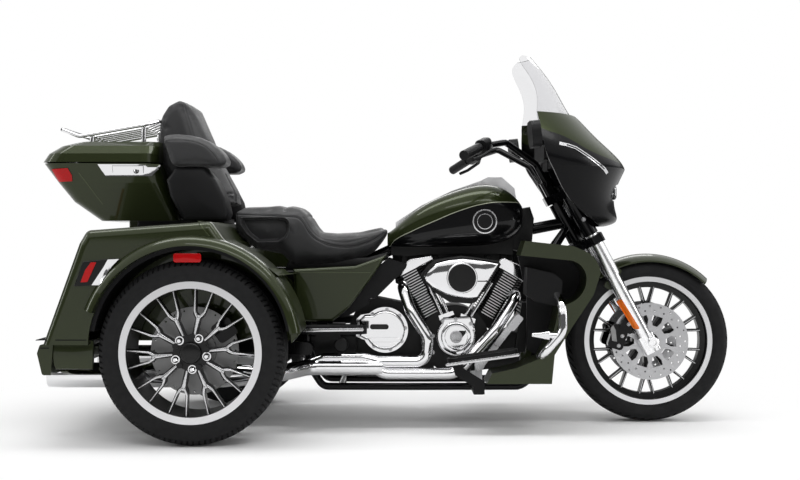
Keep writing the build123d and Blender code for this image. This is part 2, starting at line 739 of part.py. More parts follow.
cleaner_inner, cleaner_outer = 150.0, 290.0
with BuildPart() as air_cleaner:
    with BuildSketch(side_plane(-cleaner_inner)):
        Polygon((120, 574), (160, 632), (220, 650), (320, 650), (394, 632), (380, 590), (322, 499),
                (250, 499), (190, 515), (148, 540), align=None)
    extrude(amount=cleaner_outer - cleaner_inner - 36)
    with BuildSketch(side_plane(-cleaner_inner)):
        Polygon((120, 574), (160, 632), (220, 650), (320, 650), (394, 632), (380, 590), (322, 499),
                (250, 499), (190, 515), (148, 540), align=None)
    extrude(amount=cleaner_outer - cleaner_inner)
    fillet(air_cleaner.faces().sort_by(Axis.Y)[0].edges(), radius=10)
    with BuildSketch(side_plane(-cleaner_outer)):
        with Locations((258, 573)):
            Circle(60)
    extrude(amount=6)
    with BuildSketch(side_plane(-fin_half_width)):             # intake runner to the vee
        with Locations((254, 560)):
            RectangleRounded(120, 96, 20)
    extrude(amount=cleaner_inner - fin_half_width)
    with BuildSketch(side_plane(0)):
        with Locations((254, 565)):
            Circle(34)
    extrude(amount=fin_half_width)
    with BuildSketch(side_plane(34)):                          # manifold between the two heads
        Polygon((130, 545), (394, 545), (372, 505), (150, 505), align=None)
    extrude(amount=68)
    for other in (cylinders["front"], cylinders["rear"], pushrod_tubes.part):
        add(other, mode=Mode.SUBTRACT)
save(air_cleaner.part, "air_cleaner")

gearbox_half = 72.0
gearbox_x, gearbox_z = -30.0, 368.0
with BuildPart() as gearbox_cover:
    for start, depth, radius, reach in ((gearbox_half, 66, 88, 142), (gearbox_half + 66, 22, 76, 128)):
        with BuildSketch(side_plane(-start)):
            with Locations((gearbox_x, gearbox_z)):
                Circle(radius)
            Polygon((gearbox_x, gearbox_z + radius - 14), (-reach + 18, gearbox_z + 58),
                    (-reach, gearbox_z + 40),
                    (-reach, gearbox_z - 24), (-reach + 24, gearbox_z - 36),
                    (gearbox_x, gearbox_z - radius + 34), align=None)
        extrude(amount=depth)
    fillet(gearbox_cover.faces().sort_by(Axis.Y)[0].edges(), radius=9)
    add(crankcase.part, mode=Mode.SUBTRACT)
save(gearbox_cover.part, "gearbox_cover")

belt_inner, belt_width = 78.0, 28.0
output_x, output_z = -60.0, 320.0
with BuildPart() as primary_cover:
    with BuildSketch(side_plane(cover_face)):
        with BuildLine():
            Line((crank_x, crank_z + 104), (output_x, output_z + 112))
            ThreePointArc((output_x, output_z + 112), (output_x - 112, output_z),
                          (output_x, output_z - 112))
            Line((output_x, output_z - 112), (crank_x, crank_z - 104))
            ThreePointArc((crank_x, crank_z - 104), (crank_x + 104, crank_z), (crank_x, crank_z + 104))
        make_face()
    extrude(amount=-62)
    fillet(primary_cover.faces().sort_by(Axis.Y)[-1].edges(), radius=22)
    with BuildSketch(side_plane(cover_face + 62)):             # raised derby cover
        with Locations((output_x, output_z)):
            Circle(72)
    extrude(amount=-10)
    add(frame.part, mode=Mode.SUBTRACT)
save(primary_cover.part, "primary_cover")

header_radius, collector_radius, crossover_radius = 22.0, 31.0, 19.0
pipe_y = -206.0                # both pipes run in this plane beside the engine
muffler_y, muffler_z, muffler_radius = 370.0, 220.0, 46.0
muffler_front_x, muffler_tip_x = -500.0, -1259.0
with BuildPart() as exhaust_pipes:
    front_header = [(462, -60, 500), (480, -150, 505), (391, -190, 371), (306, pipe_y, 280),
                    (236, pipe_y, 207),
                    (-30, pipe_y, 207), (-60, pipe_y, 222)]
    rear_header = [(52, -60, 528), (34, -150, 541), (68, -190, 444), (132, pipe_y, 345), (128, pipe_y, 252),
                   (-60, pipe_y, 251)]
    collector = [(-40, pipe_y, 232), (-320, pipe_y, 232), (-440, -muffler_y, muffler_z),
                 (muffler_front_x, -muffler_y, muffler_z)]
    crossover = [(-50, pipe_y, 251), (-110, pipe_y, 266), (-262, pipe_y, 266), (-330, pipe_y, 242),
                 (-436, -150, 214), (-440, 200, 214),
                 (-452, muffler_y, muffler_z), (muffler_front_x, muffler_y, muffler_z)]
    for path, radius in ((front_header, header_radius), (rear_header, header_radius),
                         (collector, collector_radius),
                         (crossover, crossover_radius)):
        add(tube(path, radius, 60))
    for other in (cylinders["front"], cylinders["rear"], cam_cover.part, crankcase.part,
                  gearbox_cover.part):
        add(other, mode=Mode.SUBTRACT)
save(exhaust_pipes.part, "exhaust_pipes")

with BuildPart() as mufflers:
    for sign in (1, -1):
        axis = Axis((0, sign * muffler_y, muffler_z), (1, 0, 0))
        with BuildSketch(Plane(origin=(0, sign * muffler_y, muffler_z), x_dir=(1, 0, 0), z_dir=(0, -1, 0))):
            Polygon((muffler_front_x, 32), (-620, muffler_radius), (-1210, muffler_radius),
                    (muffler_tip_x, muffler_radius - 3), (muffler_tip_x, muffler_radius - 8),
                    (-1150, muffler_radius - 10), (-1150, 0), (muffler_front_x, 0), align=None)
        revolve(axis=axis)
save(mufflers.part, "mufflers")


# ---------------------------------------------------------------- rear axle, belt and suspension
star_inner = half_track + rear_rim_width / 2 - 14 - 34
hub_inner = star_inner - 62
spindle_end = half_track + rear_rim_width / 2 - 28 - 1
rotor_face = half_track + rear_rim_width / 2 - 14 - 84
arm_half = rail_half + 44
with BuildPart() as rear_axle:
    with BuildSketch(side_plane(hub_inner - 3)):
        with Locations((rear_axle_x, rear_tyre_radius)):
            Circle(34)
    extrude(amount=2 * (hub_inner - 3))
    with BuildSketch(side_plane(spindle_end)):
        with Locations((rear_axle_x, rear_tyre_radius)):
            Circle(spindle_radius)
    extrude(amount=2 * spindle_end)
    with BuildSketch(side_plane(belt_inner - 8)):              # differential carrier
        with Locations((rear_axle_x, rear_tyre_radius)):
            Circle(66)
    extrude(amount=2 * (belt_inner - 8))
    for sign in (1, -1):
        with BuildSketch(side_plane(sign * (arm_half + 16))):  # swing arm
            with Locations((upright_x, pivot_z)):
                Circle(24)
            with Locations((rear_axle_x, rear_tyre_radius)):
                Circle(46)
            Polygon((upright_x, pivot_z + 24), (upright_x, pivot_z - 24),
                    (rear_axle_x, rear_tyre_radius - 30),
                    (rear_axle_x, rear_tyre_radius + 30), align=None)
        extrude(amount=sign * 22)
        with BuildSketch(side_plane(sign * (rail_half + 46))):
            with Locations((upright_x, pivot_z)):
                Circle(12)
        extrude(amount=sign * 26)
        with BuildSketch(side_plane(sign * (rotor_face - 18))):  # caliper and its bracket
            with Locations((rear_axle_x + 105, rear_tyre_radius + 73.5)):
                RectangleRounded(72, 74, 14, rotation=-55)
        extrude(amount=-sign * 30)
        with BuildSketch(side_plane(sign * (rotor_face - 34))):
            with BuildLine():
                Polyline((rear_axle_x - 30, rear_tyre_radius), (rear_axle_x + 20, rear_tyre_radius - 40),
                         (rear_axle_x + 128, rear_tyre_radius + 40),
                         (rear_axle_x + 70, rear_tyre_radius + 100),
                         close=True)
            make_face()
        extrude(amount=-sign * 16)
        with BuildSketch(side_plane(sign * (rotor_face - 9.5))):
            with Locations((rear_axle_x, rear_tyre_radius)):
                Circle(157)
                Circle(40, mode=Mode.SUBTRACT)
        extrude(amount=-sign * 11, mode=Mode.SUBTRACT)
    add(frame.part, mode=Mode.SUBTRACT)
save(rear_axle.part, "rear_axle")

pulley_small, pulley_large, belt_thickness = 44.0, 60.0, 6.0
with BuildPart() as drive_belt:
    span = Vector(rear_axle_x - output_x, 0, rear_tyre_radius - output_z)
    heading = math.atan2(rear_tyre_radius - output_z, rear_axle_x - output_x)
    wrap = math.asin((pulley_large - pulley_small) / span.length)
    for grow, mode in ((belt_thickness, Mode.ADD), (0.0, Mode.SUBTRACT)):
        with BuildSketch(side_plane(belt_inner)):
            small, large = pulley_small + grow, pulley_large + grow
            up, low = heading - math.pi / 2 - wrap, heading + math.pi / 2 + wrap
            ends = []
            for centre, radius in (((output_x, output_z), small), ((rear_axle_x, rear_tyre_radius), large)):
                for angle in (up, low):
                    ends.append((centre[0] + radius * math.cos(angle),
                                 centre[1] + radius * math.sin(angle)))
            Polygon(ends[0], ends[2], ends[3], ends[1], align=None)
            with Locations((output_x, output_z)):
                Circle(small)
            with Locations((rear_axle_x, rear_tyre_radius)):
                Circle(large)
        extrude(amount=-belt_width, mode=mode)
    for x, z, radius, bore in ((output_x, output_z, pulley_small, 0),
                               (rear_axle_x, rear_tyre_radius, pulley_large, 34)):
        with BuildSketch(side_plane(belt_inner)):
            with Locations((x, z)):
                Circle(radius)
                if bore:
                    Circle(bore, mode=Mode.SUBTRACT)
        extrude(amount=-belt_width)
    with BuildSketch(side_plane(gearbox_half)):
        with Locations((output_x, output_z)):
            Circle(16)
    extrude(amount=gearbox_half - belt_inner)
    add(rear_axle.part, mode=Mode.SUBTRACT)
save(drive_belt.part, "drive_belt")

with BuildPart() as rear_shocks:
    for sign in (1, -1):
        foot, head = Vector(-500, sign * arm_half, 330), Vector(-466, sign * arm_half, 575)
        run = (head - foot).normalized()
        for start, length, radius in ((0, 50, 20), (50, 8, 34), (58, 130, 27), (188, 8, 34), (196, 44, 14)):
            with BuildSketch(Plane(origin=foot + run * start, z_dir=run)):
                Circle(radius)
            extrude(amount=length)
        with BuildSketch(side_plane(sign * (arm_half + 16))):
            with Locations((head.X, head.Z)):
                Circle(20)
        extrude(amount=sign * (16 + arm_half - rail_half))
    for other in (rear_axle.part, frame.part):
        add(other, mode=Mode.SUBTRACT)
save(rear_shocks.part, "rear_shocks")


# ---------------------------------------------------------------- rear body
pin_radius = 2.5
knuckle_radius = 6.0
knuckle_length = 30.0
knuckle_play = 0.3             # end play between neighbouring knuckles


def hinge_half(plane, moving, leaf_low, leaf_high, leaf_side):
    """One half of a pinned hinge whose axis is the plane's z: its knuckles, and a leaf beside them.

    The moving half is the bored middle knuckle; the fixed half is the two outer knuckles and the pin.
    """
    if moving:
        spans = ((-knuckle_length / 2, knuckle_length),)
    else:
        outer = knuckle_length / 2 + knuckle_play
        spans = ((outer, knuckle_length / 2), (-outer - knuckle_length / 2, knuckle_length / 2))
    with BuildPart() as half:
        for start, length in spans:
            with BuildSketch(plane.offset(start)):
                Circle(knuckle_radius)
                with Locations((leaf_side, (leaf_low + leaf_high) / 2)):
                    Rectangle(4, leaf_high - leaf_low)
            extrude(amount=length)
        with BuildSketch(plane.offset(-knuckle_length - knuckle_play)):
            Circle(pin_radius + (running_clearance if moving else 0))
        extrude(amount=2 * (knuckle_length + knuckle_play), mode=Mode.SUBTRACT if moving else Mode.ADD)
    return half.part


bay_inner = bay_half_width - shell_wall
trunk_floor = 412.0
arch_centre = (rear_axle_x, 0, rear_tyre_radius + arch_raise)
rear_low, rear_high = (-1206.0, 354.0), (-1080.0, 704.0)


def arch_point(radius, angle):
    """A point in the side view at that radius and angle about the centre of the wheel arch."""
    turn = math.radians(angle)
    return (arch_centre[0] + radius * math.cos(turn), arch_centre[2] + radius * math.sin(turn))


def body_profile(inset=0.0):
    """The side profile of the rear body, drawn in by a wall: slanted tail, flat deck, front round the arch."""
    with BuildSketch() as profile:
        with BuildLine():
            Polyline(arch_point(lip_radius, 8), (-352, 354), rear_low, rear_high, (-1054, 748), (-626, 780),
                     arch_point(lip_radius, 72))
            ThreePointArc(arch_point(lip_radius, 72), arch_point(lip_radius, 40), arch_point(lip_radius, 8))
        make_face()
        fillet(profile.vertices().filter_by(lambda v: v.Y > 700), radius=24)
        if inset:
            offset(amount=-inset, kind=Kind.INTERSECTION)
    return profile.sketch


def body_block(inset, low_y, high_y):
    """The body's side profile, drawn in by a wall and extruded between two Y values."""
    with BuildPart() as block:
        with BuildSketch(side_plane(high_y)):
            add(body_profile(inset))
        extrude(amount=high_y - low_y)
    return block.part


with BuildPart() as rear_body:
    add(body_block(0, -body_half_width, body_half_width))
    for flank in (rear_body.faces().sort_by(Axis.Y)[0], rear_body.faces().sort_by(Axis.Y)[-1]):
        fillet(flank.edges().filter_by(lambda edge: edge.center().Z > 420), radius=deck_round)
    for sign in (1, -1):
        low, high = sorted((sign * bay_half_width, sign * (body_half_width - shell_wall)))
        add(body_block(shell_wall, low, high), mode=Mode.SUBTRACT)
        with BuildSketch(side_plane(sign * (body_half_width - 40))):
            with Locations((arch_centre[0], arch_centre[2])):
                Circle(arch_radius)
        extrude(amount=-sign * 120, mode=Mode.SUBTRACT)
        with BuildSketch(Plane.XY.offset(300)):                # the bay is open below
            with Locations((rear_axle_x, sign * (bay_half_width + body_half_width - shell_wall) / 2)):
                Rectangle(2 * arch_radius - 4, body_half_width - shell_wall - bay_half_width)
        extrude(amount=140, mode=Mode.SUBTRACT)
    with BuildSketch(side_plane(bay_half_width + 10)):         # slots where the axle passes to the wheels
        with Locations((rear_axle_x, rear_tyre_radius - 10)):
            RectangleRounded(150, 150, 40)
    extrude(amount=2 * bay_half_width + 20, mode=Mode.SUBTRACT)
    with BuildSketch(side_plane(bay_inner)):                   # seat space ahead of the trunk
        Polygon((trunk_front, 300), (trunk_front, 900), (-300, 900), (-300, 300), align=None)
    extrude(amount=2 * bay_inner, mode=Mode.SUBTRACT)
    with BuildSketch(side_plane(bay_inner)):                   # under the trunk floor
        Polygon((rear_low[0] + 18, 300), (rear_low[0] + 18, rear_low[1]),
                (rear_low[0] + 18 + 0.36 * (trunk_floor - shell_wall - rear_low[1]),
                 trunk_floor - shell_wall),
                (trunk_front, trunk_floor - shell_wall), (trunk_front, 300), align=None)
    extrude(amount=2 * bay_inner, mode=Mode.SUBTRACT)
    with BuildSketch(side_plane(bay_inner)):                   # trunk
        add(body_profile(shell_wall))
        Polygon((-1300, 300), (-1300, trunk_floor), (trunk_front - shell_wall, trunk_floor),
                (trunk_front - shell_wall, 900), (-300, 900), (-300, 300), align=None, mode=Mode.SUBTRACT)
    extrude(amount=2 * bay_inner, mode=Mode.SUBTRACT)
    for sign in (1, -1):                                       # flared lip round each wheel arch
        with BuildSketch(radial_plane(arch_centre, 8)):
            lip, side = arch_radius, sign * (body_half_width - shell_wall)
            with BuildLine():
                Line((side, lip), (sign * flare_reach, lip))
                ThreePointArc((sign * flare_reach, lip), (sign * (flare_reach - 9), lip + 20),
                              (sign * (body_half_width - 2), lip_radius))
                Line((sign * (body_half_width - 2), lip_radius), (side, lip_radius))
                Line((side, lip_radius), (side, lip))
            make_face()
        revolve(axis=Axis(arch_centre, (0, -1, 0)), revolution_arc=152)
    tail_run = Vector(rear_high[0] - rear_low[0], 0, rear_high[1] - rear_low[1]).normalized()
    tail_out = Vector(-tail_run.Z, 0, tail_run.X)
    door_foot = Vector(rear_low[0], 0, rear_low[1]) + tail_run * ((door_bottom - rear_low[1]) / tail_run.Z)
    door_plane = Plane(origin=door_foot, x_dir=(0, 1, 0), z_dir=-tail_out)
    door_length = (door_top - door_bottom) / tail_run.Z
    with BuildSketch(door_plane):
        with Locations((0, door_length / 2)):
            RectangleRounded(2 * (door_half_width + panel_gap), door_length + 2 * panel_gap, 30 + panel_gap)
    extrude(amount=60, both=True, mode=Mode.SUBTRACT)
    door_axis = door_foot - tail_run * panel_gap / 2 + tail_out * knuckle_radius
    door_hinges = [
        Plane(origin=door_axis + Vector(0, y, 0), x_dir=tail_out, z_dir=(0, 1, 0)) for y in (-210, 210)
    ]
    for plane in door_hinges:
        add(hinge_half(plane, False, -26, 0, -4))
save(rear_body.part, "rear_body")

with BuildPart() as trunk_door:
    with BuildSketch(door_plane):
        with Locations((0, door_length / 2)):
            RectangleRounded(2 * door_half_width, door_length, 30)
    extrude(amount=door_thickness)
    with BuildSketch(door_plane.offset(-12)):                  # pull handle near the top edge
        with Locations((0, door_length - 46)):
            SlotOverall(170, 22)
    extrude(amount=14)
    for plane in door_hinges:
        add(hinge_half(plane, True, 0, 26, -4))
save(trunk_door.part, "trunk_door")
liner_radius = 336.0           # inside of the black liner, seen through the arch as a dark band
liner_skin = 5.0
with BuildPart() as wheel_liners:
    for sign in (1, -1):
        low, high = bay_half_width, body_half_width - shell_wall
        with BuildSketch(side_plane(sign * high)):
            with Locations((arch_centre[0], arch_centre[2])):
                Circle(arch_radius + 6)
                Circle(liner_radius, mode=Mode.SUBTRACT)
            Polygon((-1200, -100), (-1200, 400), (-200, 400), (-200, -100), align=None, mode=Mode.SUBTRACT)
        extrude(amount=sign * liner_skin)
        with BuildSketch(side_plane(sign * high)):
            with Locations((arch_centre[0], arch_centre[2])):
                Circle(liner_radius + liner_skin)
                Circle(liner_radius, mode=Mode.SUBTRACT)
            Polygon((-1200, -100), (-1200, 400), (-200, 400), (-200, -100), align=None, mode=Mode.SUBTRACT)
        extrude(amount=sign * (high - low))
    add(rear_body.part, mode=Mode.SUBTRACT)
save(wheel_liners.part, "wheel_liners")

plate_width, plate_height, plate_thickness = 178.0, 102.0, 4.0
plate_hole_y, plate_hole_z, plate_hole_radius = 146.0, 70.0, 3.5
plate_x, plate_z = -1246.0, 312.0
bumper_half = 618.0
with BuildPart() as rear_bumper:
    with BuildSketch(side_plane(bumper_half)):
        Polygon((rear_low[0] + 6, rear_low[1]), (rear_low[0] - 16, rear_low[1] - 2), (-1232, 322),
                (-1214, 246),
                (-1184, 246), (-1176, rear_low[1]), align=None)
    extrude(amount=2 * bumper_half)
    fillet(rear_bumper.edges().filter_by(Axis.Y).filter_by(lambda edge: edge.center().X < -1210), radius=9)
    for sign in (1, -1):                                       # brackets to the floor of the body
        with BuildSketch(side_plane(sign * 300)):
            Polygon((-1184, 350), (-1184, 270), (-1110, trunk_floor - shell_wall),
                    (-1168, trunk_floor - shell_wall), (-1168, 350), align=None)
        extrude(amount=sign * 20)
        with BuildSketch(cross_plane(-1300)):                  # scallop over the muffler
            with Locations((sign * muffler_y, muffler_z)):
                Circle(muffler_radius + 12)
        extrude(amount=200, mode=Mode.SUBTRACT)
    with BuildSketch(cross_plane(plate_x)):
        with Locations((0, plate_z)):
            RectangleRounded(plate_width, plate_height, 8)
    extrude(amount=plate_thickness)
    with BuildSketch(cross_plane(plate_x + plate_thickness)):
        with Locations((0, plate_z)):
            Rectangle(80, 40)
    extrude(amount=22)
    with BuildSketch(cross_plane(plate_x)):
        with Locations((0, plate_z)):
            with GridLocations(plate_hole_y, plate_hole_z, 2, 2):
                Circle(plate_hole_radius)
    extrude(amount=plate_thickness + 8, mode=Mode.SUBTRACT)
    add(rear_body.part, mode=Mode.SUBTRACT)
save(rear_bumper.part, "rear_bumper")

with BuildPart() as rear_lamps:
    for sign in (1, -1):
        with BuildSketch(side_plane(sign * (body_half_width - 4))):
            Polygon((-1092, 556), (-1062, 640), (-952, 652), (-990, 560), align=None)
        extrude(amount=-sign * 12)
        fillet(rear_lamps.faces().sort_by(Axis.Y)[0 if sign < 0 else -1].edges(), radius=3)
    for y in (-490, 490):                                      # tail lamps beside the trunk door
        lamp_z = 590
        lamp_x = rear_low[0] + (lamp_z - rear_low[1]) * tail_run.X / tail_run.Z
        with BuildSketch(Plane(origin=(lamp_x, y, lamp_z), x_dir=(0, 1, 0), z_dir=tail_out)):
            RectangleRounded(150, 78, 20)
        extrude(amount=8)
    add(rear_body.part, mode=Mode.SUBTRACT)
save(rear_lamps.part, "rear_lamps")


# ---------------------------------------------------------------- luggage box and its lid
# columns: height, rear x, front x, half width, corner radius
box_rows = (
    (788.0, -1118.0, -815.0, 196.0, 40.0),
    (860.0, -1216.0, -838.0, 226.0, 46.0),
    (930.0, -1268.0, -866.0, 255.0, 52.0),
    (lid_line, -1319.0, -886.0, 278.0, 60.0),
)
lid_rows = (
    (lid_line + panel_gap, tail_x, -886.0, 280.0, 60.0),
    (1040.0, -1302.0, -886.0, 277.0, 60.0),
    (1070.0, -1258.0, -886.0, 258.0, 60.0),
    (1088.0, -1198.0, -888.0, 226.0, 60.0),
)


def rounded_stack(rows, inset=0.0):
    """A body lofted through rounded rectangles at rising heights, each drawn in by a wall."""
    with BuildPart() as stack:
        for height, rear, front, half, corner in rows:
            with BuildSketch(Plane(origin=((rear + front) / 2, 0, height))):
                RectangleRounded(front - rear - 2 * inset, 2 * (half - inset), corner - inset)
        loft(ruled=True)
    return stack.part


lid_hinge_y = lid_rows[0][3] + knuckle_radius + 1.5
lid_hinge_z = lid_line + panel_gap / 2
lid_hinges = [
    Plane(origin=(x, lid_hinge_y, lid_hinge_z), x_dir=(0, 1, 0), z_dir=(1, 0, 0)) for x in (-1200, -980)
]
with BuildPart() as luggage_box:
    add(rounded_stack(box_rows))
    floor_row = (box_rows[0][0] + box_wall, *box_rows[0][1:])
    add(rounded_stack((floor_row, *box_rows[1:]), box_wall), mode=Mode.SUBTRACT)
    for x in (-1000, -880):                                    # feet down to the deck of the rear body
        with BuildSketch(Plane.XY.offset(box_rows[0][0])):
            with Locations((x, 120), (x, -120)):
                RectangleRounded(40, 30, 8)
        extrude(amount=-60)
    add(rear_body.part, mode=Mode.SUBTRACT)
    for plane in lid_hinges:
        add(hinge_half(plane, False, -26, 0, -4))
        with BuildSketch(plane.offset(-knuckle_length - knuckle_play)):
            with Locations((-10, -22)):
                Rectangle(16, 12)
        extrude(amount=2 * (knuckle_length + knuckle_play))
save(luggage_box.part, "luggage_box")

with BuildPart() as luggage_lid:
    add(rounded_stack(lid_rows))
    ceiling = lid_rows[-1]
    add(rounded_stack((*lid_rows[:-1], (ceiling[0] - box_wall, *ceiling[1:])), box_wall),
        mode=Mode.SUBTRACT)
    for plane in lid_hinges:
        add(hinge_half(plane, True, 0, 24, -5))
        with BuildSketch(plane.offset(-knuckle_length / 2)):
            with Locations((-8, 16)):
                Rectangle(8, 12)
        extrude(amount=knuckle_length)
save(luggage_lid.part, "luggage_lid")

rack_height = 1108.0
with BuildPart() as luggage_rack:
    side_rail = [(-1262, 190, 1136), (-1196, 196, rack_height + 2), (-950, 196, 1154), (-906, 150, 1172)]
    for rail in (side_rail, both_sides(side_rail)):
        add(tube(rail, 7, 40))
    add(tube([(-1262, 190, 1136), (-1268, 120, 1140), (-1268, -120, 1140), (-1262, -190, 1136)], 7, 40))
    add(tube([(-906, 150, 1172), (-902, 100, 1176), (-902, -100, 1176), (-906, -150, 1172)], 7, 40))
    for y in (-112, -56, 0, 56, 112):
        add(tube([(-1266, y, 1138), (-1186, y, rack_height + 2), (-950, y, 1152), (-902, y, 1175)], 4.5,
                 40))
    for x, z in ((-1160, 1114), (-960, 1150)):
        add(tube([(x, 194, z), (x, -194, z)], 5))
        for y in (-150, 150):
            with BuildSketch(Plane.XY.offset(lid_rows[-1][0] - 30)):
                with Locations((x, y)):
                    Circle(9)
            extrude(amount=z - lid_rows[-1][0] + 30)
    add(luggage_lid.part, mode=Mode.SUBTRACT)
save(luggage_rack.part, "luggage_rack")


# ---------------------------------------------------------------- seat, backrest and tank
# columns: x, top, bottom, half width, corner radius
seat_rows = (
    (-640.0, 838.0, 790.0, 150.0, 20.0),
    (-575.0, 845.0, 786.0, 186.0, 24.0),
    (-535.0, 848.0, 700.0, 194.0, 40.0),
    (-450.0, 851.0, 650.0, 198.0, 46.0),
    (-360.0, 829.0, 612.0, 198.0, 46.0),
    (-300.0, 752.0, 608.0, 198.0, 44.0),
    (-170.0, 741.0, 608.0, 192.0, 44.0),
    (-80.0, 762.0, 612.0, 150.0, 44.0),
    (-22.5, 762.0, 640.0, 100.0, 40.0),
)
tank_rows = (
    (-22.0, 742.0, 690.0, 84.0, 22.0),
    (50.0, 800.0, 688.0, 128.0, 40.0),
    (150.0, 868.0, 688.0, 158.0, 62.0),
    (270.0, 914.0, 690.0, 176.0, 78.0),
    (380.0, 928.0, 698.0, 178.0, 84.0),
    (460.0, 896.0, 722.0, 150.0, 70.0),
    (505.0, 846.0, 768.0, 96.0, 36.0),
)


def length_loft(rows, straight=False):
    """A body lofted along X through rounded rectangles, each with its own top, bottom and half width."""
    with BuildPart() as body:
        for x, top, bottom, half, corner in rows:
            with BuildSketch(Plane(origin=(x, 0, (top + bottom) / 2), x_dir=(0, 1, 0), z_dir=(1, 0, 0))):
                RectangleRounded(2 * half, top - bottom, corner)
        loft(ruled=straight)
    return body.part


tunnel_gap = 0.5
with BuildPart() as fuel_tank:
    add(length_loft(tank_rows))
    add(tube(backbone_path, backbone_radius + tunnel_gap, 90), mode=Mode.SUBTRACT)
    with BuildSketch(side_plane(backbone_radius + tunnel_gap)):
        Polygon((-60, 600), (-60, 662), (90, 722), (480, 745), (700, 790), (700, 600), align=None)
    extrude(amount=2 * (backbone_radius + tunnel_gap), mode=Mode.SUBTRACT)
save(fuel_tank.part, "fuel_tank")

with BuildPart() as tank_console:
    with BuildSketch(side_plane(46)):
        with BuildLine():
            Polyline((10, 760), (10, 784), (110, 850), (230, 908), (345, 948), (372, 962), (428, 962),
                     (478, 918),
                     (484, 880), close=True)
        make_face()
    extrude(amount=92)
    add(fuel_tank.part, mode=Mode.SUBTRACT)
    add(length_loft(tank_rows), mode=Mode.SUBTRACT)
save(tank_console.part, "tank_console")

with BuildPart() as battery_box:
    with BuildSketch(side_plane(190)):
        Polygon((-372, 420), (-372, 600), (-330, 608), (-92, 608), (-92, 470), (-180, 420), align=None)
    extrude(amount=380)
    for sign in (1, -1):                                       # side panels reach forward beside the engine
        with BuildSketch(side_plane(sign * 190)):
            Polygon((-120, 608), (-60, 608), (-18, 644), (54, 622), (50, 608), (-67, 492), (-120, 494),
                    align=None)
        extrude(amount=sign * 40)
    for other in (frame.part, crankcase.part):
        add(other, mode=Mode.SUBTRACT)
save(battery_box.part, "battery_box")

with BuildPart() as wiring_cover:              # closes the space between the heads and the tank
    with BuildSketch(side_plane(62)):
        Polygon((-8, 656), (60, 652), (150, 662), (400, 662), (470, 656), (470, 730), (-8, 730), align=None)
    extrude(amount=124)
    for other in (frame.part, battery_box.part, rocker_covers.part, air_cleaner.part,
                  length_loft(tank_rows)):
        add(other, mode=Mode.SUBTRACT)
save(wiring_cover.part, "wiring_cover")

with BuildPart() as seat:
    add(length_loft(seat_rows, straight=True))
    for other in (frame.part, battery_box.part, rear_body.part):
        add(other, mode=Mode.SUBTRACT)
save(seat.part, "seat")

cover_inner, cover_outer = 190.0, 232.0
with BuildPart() as side_covers:
    for sign in (1, -1):
        with BuildSketch(side_plane(sign * cover_inner)):
            Polygon((-378, 605), (-143, 617), (-24, 659), (-64, 595), (-166, 458), (-228, 405), (-367, 405),
                    align=None)
        extrude(amount=-sign * (cover_outer - cover_inner))
        fillet(side_covers.faces().sort_by(Axis.Y)[0 if sign < 0 else -1].edges(), radius=12)
    add(seat.part, mode=Mode.SUBTRACT)
save(side_covers.part, "side_covers")

backrest_back = -880.0
with BuildPart() as backrest:
    with BuildSketch(side_plane(150)):
        with BuildLine():
            Polyline((-800, 852), (-884, 980), (-889, lid_line), (backrest_back, lid_line),
                     (backrest_back, 1150))
            ThreePointArc((backrest_back, 1150), (backrest_back + 12, 1226), (-821, 1257))
            ThreePointArc((-821, 1257), (-784, 1250), (-765, 1222))
            Polyline((-765, 1222), (-714, 1100), (-690, 1040), (-650, 969), (-616, 905), (-594, 852),
                     (-800, 852))
        make_face()
    extrude(amount=300)
    for other in (seat.part, luggage_box.part):
        add(other, mode=Mode.SUBTRACT)
save(backrest.part, "backrest")

with BuildPart() as armrests:
    for sign in (1, -1):
        with BuildSketch(side_plane(sign * 150)):
            with BuildLine():
                Polyline((-822, 990), (-862, 1108), (-810, 1112), (-760, 1107), (-716, 1097), (-684, 1082),
                         (-655, 1060))
                ThreePointArc((-655, 1060), (-617, 1018), (-642, 990))
                Line((-642, 990), (-822, 990))
            make_face()
        extrude(amount=-sign * 160)
    add(backrest.part, mode=Mode.SUBTRACT)
save(armrests.part, "armrests")

with BuildPart() as speaker_pods:
    with BuildSketch(side_plane(-152)):
        Polygon((-812, 991.5), (-700, 991.5), (-659, 935), (-612, 838), (-614, 808), (-656, 784),
                (-786, 784),
                (-834, 880), (-848, 940), align=None)
    extrude(amount=140)
    for other in (luggage_box.part, seat.part, rear_body.part, armrests.part):
        add(other, mode=Mode.SUBTRACT)
    mirror(about=Plane.XZ)
save(speaker_pods.part, "speaker_pods")


# ---------------------------------------------------------------- lower fairings, guard and footboards
guard_radius = 16.0
with BuildPart() as engine_guard:
    for sign in (1, -1):
        guard = [(588, sign * 120, 340), (560, sign * 200, 270), (540, sign * 400, 286),
                 (620, sign * 410, 380),
                 (622, sign * 396, 470), (590, sign * 250, 560), (600, sign * 98, 520)]
        add(tube(guard, guard_radius, 60))
        with BuildSketch(Plane(origin=(608, sign * 410, 366), x_dir=(0, 1, 0), z_dir=(-1, 0, 0.05))):
            Circle(11)
        extrude(amount=40)
        with BuildSketch(Plane(origin=(570, sign * 410, 368), x_dir=(0, 1, 0), z_dir=(-1, 0, 0))):
            RectangleRounded(30, 34, 8)
        with BuildSketch(Plane(origin=(506, sign * 416, 370), x_dir=(0, 1, 0), z_dir=(-1, 0, 0))):
            RectangleRounded(14, 12, 4)
        loft()
    add(frame.part, mode=Mode.SUBTRACT)
save(engine_guard.part, "engine_guard")

